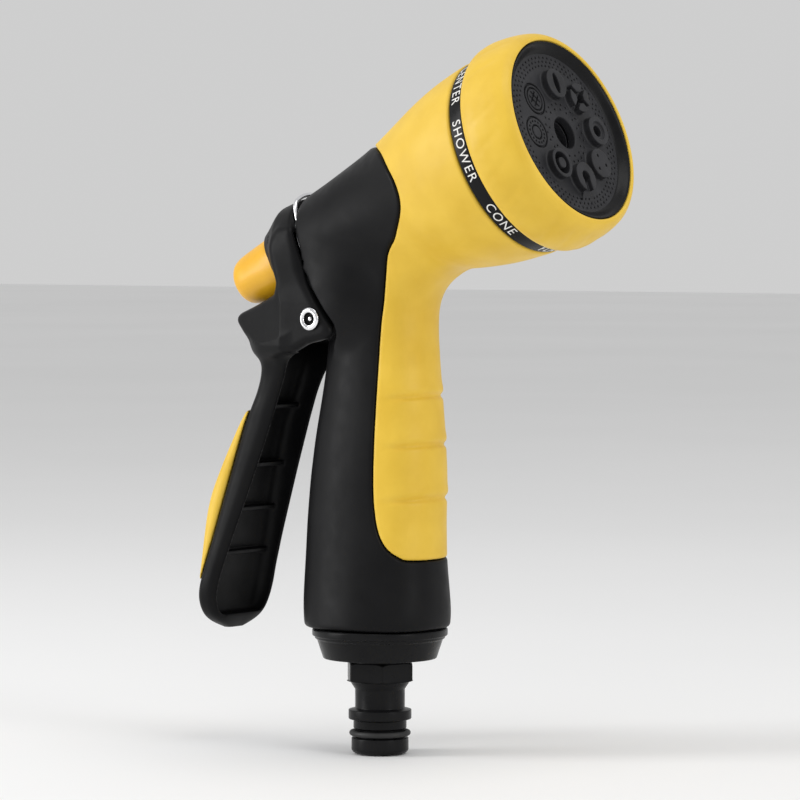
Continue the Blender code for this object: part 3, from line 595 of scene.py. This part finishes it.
def arm_hollow_field(x, y, z):
    """The channel in the arm's front, with its cross ribs left standing."""
    rear, front, half_width = arm_rows(z)
    hollow = oval(x, y, rear + ARM_WALL, front + 14, np.maximum(half_width - ARM_WALL, 0.5), 5)
    hollow = np.maximum(smooth_max(hollow, CHANNEL_BOTTOM - z, 2.0), z - CHANNEL_TOP)
    lip = rear + ARM_WALL + RIB_REACH * (front - rear - ARM_WALL)
    for height in ARM_RIBS:
        rib = np.maximum(np.abs(z - height) - RIB_HALF_WIDTH, x - lip)
        hollow = smooth_max(hollow, -rib, 0.4)
    return hollow


def lever_field(x, y, z):
    """The lever: hood, ears, thumb rest and arm in one moulding."""
    station, above = along(x, z)
    rho = np.sqrt(above**2 + y**2)
    hood = without(hood_outline(station, rho), mouth_outline(x, z), 0.7)
    half_width = np.minimum(np.interp(x, *OUTER_PLAN), np.interp(z, *OUTER_RISE))
    plan = (np.abs(y) - half_width) * 0.95
    head = smooth_max(head_outline(x, z), plan, 2.2)
    solid = smooth_min(hood, head, FILLET)
    solid = smooth_min(solid, arm_field(x, y, z), FILLET)
    space = smooth_max(hollow_outline(x, z), (np.abs(y) - np.interp(x, *INNER_PLAN)) * 0.95, 1.0)
    solid = without(solid, arm_hollow_field(x, y, z), 0.7)
    solid = without(solid, space, 0.6)
    solid = np.maximum(solid, -cylinder(rho, station, HOOD_INNER, HOOD_WALL + HOOD_WALL_THICKNESS, 0))
    solid = without(solid, cylinder(rho, station, KNOB_RECESS, -60, HOOD_WALL), 0.5)
    slot = np.maximum(np.abs(y) - 2.4, np.maximum(-2.4 - above, above - 6.4))
    solid = np.maximum(solid, -np.maximum(slot, np.abs(station + 31) - 3))
    rivet = np.sqrt((x - PIVOT_X) ** 2 + (z - PIVOT_Z) ** 2) - (RIVET_RADIUS + GAP)
    return np.maximum(solid, -rivet)


def pad_field(x, y, z):
    """The pad that wraps the back of the arm."""
    rear, _, half_width = arm_rows(z)
    (bulge,) = pad_rows(z)
    sides = oval(x, y, rear - bulge - 0.05, rear + 4, half_width * PAD_WIDTH, 2.2)
    pad = smooth_max(sides, np.maximum(PAD[0][0] - z, z - PAD[-1][0]), 1.0)
    return smooth_max(pad, -arm_field(x, y, z, GAP), 0.4)


# ---- pattern disc, in the barrel's own space: x down, y across, z along ----
OUTLETS = ("fan", "three_jets", "jet", "star", "slot", "mesh", "rings", "pin")
POST_ROOT, HOLE_MIDDLE, HOLE_REACH = 62, 65, 2.2
ENGRAVED = 0.8                  # depth of the two flat outlets' lines
RING_DOTS = 16
# rows of fine spray holes: radius of the row, count, share of a step that the row is turned
SPRAY_ROWS = [(18.9, 72, 0.0), (20.1, 72, 0.5), (21.3, 72, 0.0), (6.7, 16, 0.0), (8.2, 24, 0.5)]
SPRAY_RADIUS, SPRAY_DEPTH = 0.31, 0.6
RIM_START, RIM_WIDTH, RIM_RISE, RIM_TOP = 22.0, 3.0, 2.3, 66.6
CENTRE_HOLE = 4.4
FAR = 9.0                       # a distance that stands for nothing near


def ring_groove(rho, radius, width):
    """A ring of the given width."""
    return np.abs(rho - radius) - width / 2


def outlet_fields(kind, u, v, z):
    """What one outlet adds to the disc and what it takes away. u points away from the disc's centre."""
    rho = np.sqrt(u**2 + v**2)
    post = cylinder(rho, z, POST_RADIUS, POST_ROOT, POST_TOP)
    deep = np.abs(z - HOLE_MIDDLE) - HOLE_REACH
    if kind == "fan":
        channel = np.maximum(np.abs(v) - 1.45, np.maximum(-u, u - 4.3))
        hole = np.minimum(np.maximum(rho - 1.7, deep), np.maximum(channel, 65.2 - z))
        ramp = np.maximum(np.abs(v) - 1.5 - 0.45 * np.maximum(u - 3.5, 0), z - 65.3 + 0.30 * (u - 3.6))
        ramp = np.maximum(ramp, np.maximum(3.2 - u, np.maximum(u - 7.0, 63 - z)))
        return np.minimum(post, ramp), hole
    if kind == "three_jets":
        holes = [np.hypot(u - 2.2 * math.cos(a), v - 2.2 * math.sin(a)) - 0.45 for a in (0.5, 2.6, 4.7)]
        return post, np.maximum(np.minimum(np.minimum(*holes[:2]), holes[2]), deep)
    if kind == "jet":
        return post, np.minimum(np.maximum(rho - 1.6, deep), np.maximum(rho - 2.6, 66.0 - z))
    if kind == "star":
        arms = np.minimum(np.minimum(np.abs(u), np.abs(v)) - 0.7, rho - 1.7)
        arms = np.maximum(arms, np.maximum(rho - 4.6, DISC_FACE + 0.25 - z))
        return post, np.minimum(arms, np.maximum(rho - 1.7, deep))
    if kind == "slot":
        return post, np.maximum(np.hypot(u / 2.9, v / 1.15) * 1.6 - 1.6, deep)
    if kind == "pin":
        return post, np.maximum(np.maximum(rho - 3.1, 1.5 - rho), deep)
    if kind == "mesh":
        lines = np.minimum(ring_groove(rho, 4.2, 0.6), ring_groove(rho, 3.1, 0.5))
        grid = np.minimum(np.abs(np.abs(u) - 0.8), np.abs(np.abs(v) - 0.8)) - 0.26
        lines = np.minimum(lines, np.maximum(grid, rho - 2.3))
        return None, np.maximum(lines, DISC_FACE - ENGRAVED - z)
    lines = np.minimum(ring_groove(rho, 4.2, 0.6), ring_groove(rho, 1.9, 0.5))
    turn = 2 * math.pi / RING_DOTS
    nearest = (np.floor(np.arctan2(v, u) / turn) + 0.5) * turn
    dots = np.hypot(u - 3.05 * np.cos(nearest), v - 3.05 * np.sin(nearest)) - 0.34
    return None, np.maximum(np.minimum(lines, dots), DISC_FACE - ENGRAVED - z)


def spray_field(x, y):
    """The fine holes near the rim and round the centre."""
    rho, angle = np.sqrt(x**2 + y**2), np.arctan2(y, x)
    holes = np.full(np.broadcast(x, y).shape, FAR)
    for row, count, turned in SPRAY_ROWS:
        step = 2 * math.pi / count
        around = (np.mod(angle / step + turned, 1) - 0.5) * step * row
        holes = np.minimum(holes, np.hypot(rho - row, around) - SPRAY_RADIUS)
    return holes


def disc_field(x, y, z):
    """The disc's face: a dish with raised outlets, engraved outlets and fine holes."""
    rho = np.sqrt(x**2 + y**2)
    rise = np.clip((rho - RIM_START) / RIM_WIDTH, 0, 1)
    top = np.minimum(DISC_FACE + RIM_RISE * rise * rise * (3 - 2 * rise), RIM_TOP)
    disc = smooth_max(np.maximum(rho - DISC_RADIUS, z - top), FACE_BACK - z, 0.4)
    removed = np.maximum(spray_field(x, y), DISC_FACE - SPRAY_DEPTH - z)
    for i, kind in enumerate(OUTLETS):
        angle = 2 * math.pi * i / len(OUTLETS)
        cos, sin = math.cos(angle), math.sin(angle)
        u, v = x * cos + y * sin - PATTERN_CIRCLE, y * cos - x * sin
        added, cut = outlet_fields(kind, u, v, z)
        if added is not None:
            disc = smooth_min(disc, added, 0.6)
        removed = np.minimum(removed, np.where(np.hypot(u, v) < 8, cut, FAR))
    disc = smooth_max(disc, -removed, 0.18)
    return without(disc, cylinder(rho, z, CENTRE_HOLE, 55, 70), 0.5)


# ---- materials ----
class Material:
    """A Principled material with helpers for the noise that gives it its colour, roughness and grain.

    The colour and roughness that it starts with are its plain values, for a viewer without nodes.
    """

    def __init__(self, name, color, roughness, metallic=0.0):
        self.material = bpy.data.materials.new(name)
        self.material.use_nodes = True
        self.nodes, self.links = self.material.node_tree.nodes, self.material.node_tree.links
        self.shader = self.nodes["Principled BSDF"]
        self.shader.inputs["Base Color"].default_value = (*color, 1)
        self.shader.inputs["Roughness"].default_value = roughness
        self.shader.inputs["Metallic"].default_value = metallic
        self.place = self.nodes.new("ShaderNodeTexCoord").outputs["Object"]

    def set(self, **values):
        """Sets constants on the shader's own sockets."""
        for name, value in values.items():
            self.shader.inputs[name.replace("_", " ")].default_value = value
        return self

    def noise(self, size, detail=3.0, stretch=(1, 1, 1)):
        """Noise with features of about the given size in metres."""
        mapping = self.nodes.new("ShaderNodeMapping")
        mapping.inputs["Scale"].default_value = stretch
        self.links.new(self.place, mapping.inputs["Vector"])
        noise = self.nodes.new("ShaderNodeTexNoise")
        noise.inputs["Scale"].default_value = 1 / size
        noise.inputs["Detail"].default_value = detail
        self.links.new(mapping.outputs["Vector"], noise.inputs["Vector"])
        return noise.outputs["Fac"]

    def ramp(self, factor, low, high, start=0.3, end=0.7):
        """Values or colours from low to high as the factor goes from start to end."""
        ramp = self.nodes.new("ShaderNodeValToRGB")
        for element, place, value in zip(ramp.color_ramp.elements, (start, end), (low, high)):
            element.position = place
            element.color = (*value, 1) if isinstance(value, tuple) else (value, value, value, 1)
        self.links.new(factor, ramp.inputs["Fac"])
        return ramp.outputs["Color"]

    def vary_color(self, size, low, high, start=0.3, end=0.7, detail=3.0):
        """Mottles the colour between two values."""
        color = self.ramp(self.noise(size, detail), low, high, start, end)
        self.links.new(color, self.shader.inputs["Base Color"])
        return self

    def vary_roughness(self, size, low, high):
        """Mottles the roughness between two values."""
        self.links.new(self.ramp(self.noise(size, 4.0), low, high), self.shader.inputs["Roughness"])
        return self

    def grain(self, layers):
        """Bump from layers of noise: size, height in metres and stretch."""
        normal = None
        for size, height, stretch in layers:
            bump = self.nodes.new("ShaderNodeBump")
            bump.inputs["Distance"].default_value = height
            bump.inputs["Strength"].default_value = 1.0
            self.links.new(self.noise(size, 2.0, stretch), bump.inputs["Height"])
            if normal is not None:
                self.links.new(normal, bump.inputs["Normal"])
            normal = bump.outputs["Normal"]
        self.links.new(normal, self.shader.inputs["Normal"])
        return self


EVEN = (1, 1, 1)


def black_plastic():
    """Satin black moulding with a fine eroded texture."""
    look = Material("black_abs", (0.0065, 0.0065, 0.007), 0.40)
    look.vary_color(0.018, (0.0045, 0.0045, 0.005), (0.0085, 0.0085, 0.009))
    look.vary_roughness(0.004, 0.37, 0.47)
    return look.grain([(0.00045, 0.000012, EVEN), (0.010, 0.00006, EVEN)]).set(Specular_IOR_Level=0.10)


def gloss_black_plastic():
    """The smoother black of the plug, the collar and the band, also used as painted shade in the rivet's
    groove and on the disc's rim wall.
    """
    look = Material("black_abs_smooth", (0.007, 0.007, 0.0075), 0.28)
    look.vary_color(0.012, (0.005, 0.005, 0.0055), (0.009, 0.009, 0.0095))
    look.vary_roughness(0.003, 0.24, 0.36)
    return look.grain([(0.0008, 0.000005, EVEN), (0.007, 0.00004, EVEN)]).set(Specular_IOR_Level=0.12)


def face_plastic():
    """The grey-black face of the disc."""
    look = Material("disc_face", (0.026, 0.026, 0.029), 0.50)
    look.vary_color(0.006, (0.016, 0.016, 0.018), (0.026, 0.026, 0.029))
    look.vary_roughness(0.002, 0.44, 0.56)
    return look.grain([(0.0004, 0.00001, EVEN)]).set(Specular_IOR_Level=0.25)


def soft_yellow():
    """Soft overmoulded rubber: matt, slightly mottled."""
    look = Material("yellow_rubber", (0.74, 0.50, 0.07), 0.5)
    look.vary_color(0.009, (0.70, 0.44, 0.022), (0.79, 0.52, 0.045), 0.25, 0.75, 5.0)
    look.vary_roughness(0.006, 0.46, 0.60)
    look.grain([(0.0006, 0.000016, EVEN), (0.006, 0.00008, EVEN)])
    return look.set(Sheen_Weight=0.06, Sheen_Roughness=0.5)


def knob_yellow():
    """The harder, more orange plastic of the flow knob."""
    look = Material("knob_plastic", (0.78, 0.42, 0.02), 0.34)
    look.vary_color(0.008, (0.74, 0.37, 0.006), (0.84, 0.45, 0.014), 0.25, 0.75, 4.0)
    look.vary_roughness(0.003, 0.28, 0.40)
    return look.grain([(0.0012, 0.00001, EVEN), (0.005, 0.00005, EVEN)])


def rubber():
    """Black rubber of the seals and O-rings."""
    look = Material("black_rubber", (0.012, 0.012, 0.012), 0.62)
    look.vary_color(0.004, (0.009, 0.009, 0.009), (0.017, 0.017, 0.017))
    look.vary_roughness(0.002, 0.52, 0.72)
    return look.grain([(0.0005, 0.00001, EVEN)])


def white_plastic():
    """Uncoloured plastic of the inner pieces."""
    look = Material("natural_plastic", (0.72, 0.72, 0.68), 0.45)
    look.vary_color(0.006, (0.68, 0.68, 0.64), (0.76, 0.76, 0.73))
    look.vary_roughness(0.002, 0.40, 0.52)
    return look.grain([(0.0006, 0.00001, EVEN)])


def steel():
    """Turned stainless steel with fine drawn lines."""
    look = Material("turned_steel", (0.60, 0.60, 0.62), 0.28, 1.0)
    look.vary_color(0.003, (0.54, 0.54, 0.56), (0.66, 0.66, 0.68))
    look.vary_roughness(0.001, 0.20, 0.36)
    return look.grain([(0.0009, 0.000008, (0.2, 0.2, 3))])


def chrome():
    """Bright plating of the rivet and the wire clip."""
    look = Material("bright_plating", (0.84, 0.84, 0.86), 0.12, 1.0)
    look.vary_color(0.002, (0.78, 0.78, 0.80), (0.90, 0.90, 0.92))
    look.vary_roughness(0.0015, 0.08, 0.18)
    return look.grain([(0.003, 0.000004, EVEN)])


def white_print():
    """The ink of the pattern names."""
    look = Material("white_print", (0.82, 0.82, 0.80), 0.5)
    look.vary_color(0.001, (0.74, 0.74, 0.72), (0.88, 0.88, 0.86))
    look.vary_roughness(0.001, 0.42, 0.58)
    return look.grain([(0.0004, 0.000006, EVEN)])


def studio_floor():
    """A plain pale floor."""
    look = Material("studio_floor", (0.86, 0.86, 0.86), 0.8)
    look.vary_color(0.5, (0.85, 0.85, 0.85), (0.88, 0.88, 0.88))
    return look


LOOKS = {
    "black_plastic": black_plastic(), "smooth_black": gloss_black_plastic(), "disc_face": face_plastic(),
    "soft_yellow": soft_yellow(), "knob_yellow": knob_yellow(), "rubber": rubber(),
    "white_plastic": white_plastic(), "steel": steel(), "chrome": chrome(), "white_print": white_print(),
    "floor": studio_floor(),
}


def finish_piece(obj, look, body, slot, *replaced):
    """Gives a piece its material and its body, and says which CAD nodes it stands for. The slot is not
    used.
    """
    obj.data.materials.clear()
    obj.data.materials.append(LOOKS[look].material)
    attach(obj, body)
    if replaced:
        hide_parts(*replaced)
    return obj


# ---- the mouldings ----
def limits(node, margin=1.2):
    """A CAD node's box in millimetres, with a margin."""
    low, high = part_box(node)
    return [c / MM - margin for c in low], [c / MM + margin for c in high]


CELL = 0.5
DISC_CELL = 0.2

body = surface("body", body_field, *limits("body_shell"), CELL)
finish_piece(body, "black_plastic", "body", "black_plastic", "body_shell")
skin = surface("skin", skin_field, *limits("grip_overmould"), CELL)
finish_piece(skin, "soft_yellow", "body", "soft_yellow", "grip_overmould")
squeeze_lever = surface("squeeze_lever", lever_field, *limits("lever", 4.0), CELL * 0.8)
finish_piece(squeeze_lever, "black_plastic", "lever_arm", "black_plastic", "lever")
pad = surface("grip_pad", pad_field, *limits("lever_pad", 8.0), CELL * 0.8)
finish_piece(pad, "soft_yellow", "lever_arm", "soft_yellow", "lever_pad")


# ---- the head ----
def bezel_marks(radius, height, angle):
    """Faint moulded grip marks round the bezel's side."""
    side = np.clip((height - 53) / 2, 0, 1) * np.clip((64.5 - height) / 3, 0, 1) * (radius > 27)
    wave = np.sin(24 * angle + 0.35 * (height - 56))
    return radius - 0.14 * side * np.clip(wave, 0, 1) ** 2


def bezel_piece():
    """The yellow ring that is turned by hand."""
    outline = [
        (25.9, HEAD_FRONT), (26.7, 66.5), (27.7, 65.3), (28.5, 63), (29.1, 60.0), (29.5, 56.4),
        (29.4, 54.2), (28.9, 52.6), (28.0, BAND_END + GAP), (25.6, BAND_END + GAP),
        (25.6, 62.0), (OPENING_RADIUS, 62.0), (OPENING_RADIUS, 66.7),
    ]
    bezel = lathe("bezel", outline, 288, 0.9, BARREL, bezel_marks)
    finish_piece(bezel, "soft_yellow", "head", "soft_yellow", "head_bezel")


def band_piece():
    """The black band that carries the pattern names."""
    outline = [
        (BAND_RADIUS - 0.15, BAND_END), (BAND_RADIUS, BAND_END - 0.3), (BAND_RADIUS - 0.1, HEAD_START),
        (24.4, HEAD_START), (24.4, BAND_END),
    ]
    band = lathe("band", outline, 240, 0.25, BARREL)
    finish_piece(band, "smooth_black", "head", "black_plastic", "label_band")


def disc_pieces():
    """The disc's outer wall, its hub, and its face with the outlets."""
    outline = [(DISC_RADIUS, DISC_BACK), (DISC_RADIUS, 52.3), (23.0, 52.3), (23.0, DISC_BACK)]
    finish_piece(lathe("disc_wall", outline, 128, 0.3, BARREL), "disc_face", "head", "black_plastic")
    outline = [
        (5.0, DISC_BACK), (5.0, 55.3), (2.2, 55.3), (2.2, 58.0), (CENTRE_HOLE, 58.0),
        (CENTRE_HOLE, DISC_BACK),
    ]
    finish_piece(lathe("disc_hub", outline, 96, 0.2, BARREL), "disc_face", "head", "black_plastic")
    face = surface("disc_face", disc_field, (-25.8, -25.8, 61), (25.8, 25.8, 67.2), DISC_CELL, BARREL)
    finish_piece(face, "disc_face", "head", "black_plastic", "pattern_disc")
    # the rim wall outside the dish gets the smooth black, painted shade on the wall
    face.data.materials.append(LOOKS["smooth_black"].material)
    to_barrel = BARREL.inverted()
    for polygon in face.data.polygons:
        x, y, _ = to_barrel @ polygon.center
        polygon.material_index = int(math.hypot(x, y) > DISH_SHADE_EDGE * MM)


# generic names of spray patterns
WORDS = ("SHOWER", "CONE", "FLAT", "FULL", "SOAKER", "MIST", "JET", "CENTER")
FIRST_WORD = math.radians(269)   # where the first word's middle is, round from straight down
LETTER_SIZE, LETTER_SPACING = 3.7, 1.2


def band_word(word, middle):
    """One pattern name as raised print, wrapped round the band."""
    curve = bpy.data.curves.new("word", "FONT")
    curve.body = word
    curve.size = LETTER_SIZE
    curve.extrude = 0.02
    curve.align_x = "CENTER"
    curve.align_y = "CENTER"
    curve.space_character = LETTER_SPACING
    flat = bpy.data.objects.new("word", curve)
    bpy.context.scene.collection.objects.link(flat)
    bpy.context.view_layer.update()
    mesh = bpy.data.meshes.new_from_object(flat.evaluated_get(bpy.context.evaluated_depsgraph_get()))
    bpy.data.objects.remove(flat)
    for vert in mesh.vertices:
        x, y, z = vert.co
        angle = middle + x / BAND_RADIUS
        radius = BAND_RADIUS + 0.02 + z
        station = (HEAD_START + BAND_END) / 2 + y
        vert.co = (radius * math.cos(angle) * MM, radius * math.sin(angle) * MM, station * MM)
    mesh.transform(BARREL)
    obj = bpy.data.objects.new("print_" + word.lower(), mesh)
    bpy.context.scene.collection.objects.link(obj)
    return finish_piece(obj, "white_print", "head", "white_plastic")


bezel_piece()
band_piece()
disc_pieces()
for number, word in enumerate(WORDS):
    band_word(word, FIRST_WORD + 2 * math.pi * number / len(WORDS))


# ---- knob, rivet and clip ----
def knob_piece():
    """The tapered knob behind the barrel that sets the flow."""
    outline = [
        (8.5, KNOB_FRONT), (8.8, -32.4), (8.6, -36.0), (7.8, -41.5), (7.0, -46.2), (6.3, -48.2),
        (4.8, KNOB_END), (0, KNOB_END),
    ]
    knob = lathe("turn_knob", outline, 128, 1.2, BARREL)
    finish_piece(knob, "knob_yellow", "knob", "knob_yellow", "flow_knob")


def rivet_piece():
    """The tubular rivet with its two rolled heads, alike at both ends."""
    reach = EAR_OUTER + GAP
    head = [
        (0, reach + 0.3), (0.6, reach + 0.1), (0.85, reach - 0.5), (1.55, reach - 0.5), (1.75, reach + 0.6),
        (2.5, reach + 0.75), (RIVET_HEAD, reach + 0.35), (RIVET_HEAD, reach), (RIVET_RADIUS, reach),
    ]
    outline = head + [(radius, -height) for radius, height in reversed(head)]
    place = Matrix.Translation((PIVOT_X * MM, 0, PIVOT_Z * MM)) @ Matrix.Rotation(math.pi / 2, 4, "X")
    rivet = lathe("rivet", outline, 72, 0.25, place)
    finish_piece(rivet, "chrome", "body", "chrome", "pivot_rivet")
    # the faces in the head's groove get the smooth black: painted shade
    rivet.data.materials.append(LOOKS["smooth_black"].material)
    axis = Vector((PIVOT_X * MM, 0, PIVOT_Z * MM))
    for face in rivet.data.polygons:
        spoke = face.center - axis
        radius = math.hypot(spoke.x, spoke.z) / MM
        face.material_index = int(RIVET_SHADE_RING[0] < radius < RIVET_SHADE_RING[1])


def clip_piece():
    """The wire bail over the barrel, with its ends turned in."""
    station, _ = along(CLIP_X, CLIP_Z)
    drop, half_turn, steps = 5.0, 102, 48
    points = [(drop, -9.9), (drop, -10.9), (drop - 0.15, -11.7), (drop - 0.9, -12.3)]
    arc = []
    for i in range(steps + 1):
        angle = math.radians(-half_turn + 2 * half_turn * i / steps)
        sunk = min(1, max(0, (abs(angle) - CLIP_ARCH) / CLIP_ARCH))
        radius = CLIP_RADIUS - CLIP_SINK * sunk * sunk * (3 - 2 * sunk)
        arc.append((-radius * math.cos(angle), radius * math.sin(angle)))
    points += arc + [(x, -y) for x, y in reversed(points)]
    wire = [(x, y, station) for x, y in curve_through(points, 3)]
    finish_piece(tube("clip_wire", wire, CLIP_WIRE, BARREL), "chrome", "clip", "chrome", "lock_clip")


knob_piece()
rivet_piece()
clip_piece()


# ---- handle end ----
NECK_RADIUS = 8.2               # of the plug, above the hexagon
HEX_NECK = 8.21                 # the six flats are cut outside this radius
RING_RADIUS, RING_WIRE, RING_HEIGHT, RING_SIDES = 7.65, 0.75, 5.4, 16


def hexagon(radius, height, angle):
    """Cuts a turned flange to six flats."""
    sixth = math.pi / 3
    apothem = HEX_APOTHEM / np.cos(np.mod(angle - HEX_TURN, sixth) - sixth / 2)
    flange = (height > HEX_BOTTOM - 0.01) & (radius > HEX_NECK)
    return np.where(flange, np.minimum(radius, apothem), radius)


def collar_piece():
    """The stepped cap on the handle's end."""
    outline = [
        (18.2, COLLAR_TOP), (18.5, 33.8), (18.5, 32.2), (17.8, 32.0), (17.8, 31.4), (17.2, 31.1),
        (15.5, COLLAR_BOTTOM), (8.6, COLLAR_BOTTOM), (8.6, COLLAR_TOP),
    ]
    collar = lathe("end_cap", outline, 160, 0.3)
    finish_piece(collar, "smooth_black", "body", "black_plastic", "handle_collar")


def plug_piece():
    """The hexagon and the quick-connect plug, with the bore through them."""
    outline = [
        (NECK_RADIUS, 37.0), (NECK_RADIUS, HEX_TOP), (9.3, HEX_TOP), (9.82, 24.3), (9.82, 20.1),
        (9.3, HEX_BOTTOM), (NECK_RADIUS, HEX_BOTTOM - 0.1), (7.6, 18.6), (6.8, 17.4), (6.8, 12.2),
        (8.6, 11.8), (8.6, 9.3),
        (7.25, 8.9), (7.25, 6.7), (6.6, 6.6), (6.6, 4.2), (7.8, 4.1), (7.8, 0.8), (7.2, 0.0),
        (4.6, 0.0), (4.6, 22.0), (6.0, 24.0), (6.0, 37.0),
    ]
    adapter = lathe("hose_plug", outline, 144, 0.25, None, hexagon)
    finish_piece(adapter, "smooth_black", "body", "black_plastic", "hose_adapter")


def o_ring_piece():
    """The O-ring near the plug's nose."""
    ring = []
    for i in range(RING_SIDES):
        angle = math.pi / 2 - 2 * math.pi * i / RING_SIDES
        ring.append((RING_RADIUS + RING_WIRE * math.cos(angle), RING_HEIGHT + RING_WIRE * math.sin(angle)))
    finish_piece(lathe("plug_ring", ring, 96, 0.05), "rubber", "body", "rubber", "plug_o_ring")


collar_piece()
plug_piece()
o_ring_piece()

# the inner pieces keep their CAD shapes and get finished materials
INNER_LOOKS = {
    "inlet_washer": "rubber", "inlet_filter": "white_plastic", "distributor_plate": "white_plastic",
    "head_screw": "smooth_black", "port_seal": "rubber", "port_seal_spring": "steel",
    "detent_ball": "steel", "detent_spring": "steel", "hub_o_ring": "rubber", "valve_stem": "steel",
    "valve_seal": "rubber", "seal_nut": "steel", "valve_spring": "steel", "gland_nut": "white_plastic",
    "stem_o_ring": "rubber",
}
for node, look in INNER_LOOKS.items():
    frame["nodes"][node].data.materials.clear()
    frame["nodes"][node].data.materials.append(LOOKS[look].material)


# ---- studio ----
CAMERA_AZIMUTH, CAMERA_ELEVATION = math.radians(35.4), math.radians(2.5)
CAMERA_DISTANCE = 1.15
CAMERA_RIGHT, CAMERA_UP = 0.00546, 0.09617      # where the camera aims, across and up from the origin
CAMERA_LENS = 189.4
FLOOR_REACH, FLOOR_DEPTH = 6.0, 0.4             # half width in metres, and depth below the object in mm
WORLD_STRENGTH = 0.62


def camera_axes():
    """The camera's right, up and backward directions."""
    cos, sin = math.cos(CAMERA_AZIMUTH), math.sin(CAMERA_AZIMUTH)
    level = math.cos(CAMERA_ELEVATION)
    right = Vector((cos, sin, 0))
    back = Vector((sin * level, -cos * level, math.sin(CAMERA_ELEVATION)))
    return right, back.cross(right), back


def add_camera():
    """The camera at the photograph's angle."""
    right, up, back = camera_axes()
    camera = bpy.data.objects.new("camera", bpy.data.cameras.new("camera"))
    camera.data.lens = CAMERA_LENS
    camera.data.clip_start, camera.data.clip_end = 0.05, 30
    place = Matrix((right, up, back)).transposed().to_4x4()
    place.translation = right * CAMERA_RIGHT + up * CAMERA_UP + back * CAMERA_DISTANCE
    camera.matrix_world = place
    bpy.context.scene.collection.objects.link(camera)
    bpy.context.scene.camera = camera


def area_light(name, side, above, front, size, power, aim=(0, 0, 0.11)):
    """A soft box placed from the camera's own directions, and aimed at the object."""
    right, _, back = camera_axes()
    light = bpy.data.objects.new(name, bpy.data.lights.new(name, "AREA"))
    light.data.shape = "RECTANGLE"
    light.data.size, light.data.size_y = size
    light.data.energy = power
    light.location = right * side + Vector((0, 0, 1)) * above + back * front
    light.rotation_mode = "QUATERNION"
    light.rotation_quaternion = (Vector(aim) - light.location).to_track_quat("-Z", "Y")
    bpy.context.scene.collection.objects.link(light)


def add_floor():
    """The floor, just below the object."""
    reach = FLOOR_REACH / MM
    corners = [
        (side * reach, way * reach, -FLOOR_DEPTH) for side, way in ((-1, -1), (1, -1), (1, 1), (-1, 1))
    ]
    floor = mesh_object("floor", corners, np.array([[0, 1, 2, 3]]))
    floor.data.materials.append(LOOKS["floor"].material)


def add_light():
    """An even white world and three soft boxes."""
    world = bpy.data.worlds.new("studio")
    world.use_nodes = True
    world.node_tree.nodes["Background"].inputs["Color"].default_value = (1, 1, 1, 1)
    world.node_tree.nodes["Background"].inputs["Strength"].default_value = WORLD_STRENGTH
    bpy.context.scene.world = world
    bpy.context.scene.view_settings.view_transform = "Standard"
    area_light("key", -1.0, 0.40, 0.12, (0.30, 1.0), 7)
    area_light("fill", 0.9, 0.50, 0.80, (0.4, 0.9), 4)
    area_light("top", 0.2, 1.3, 0.3, (0.9, 0.6), 4)


add_camera()
add_floor()
add_light()
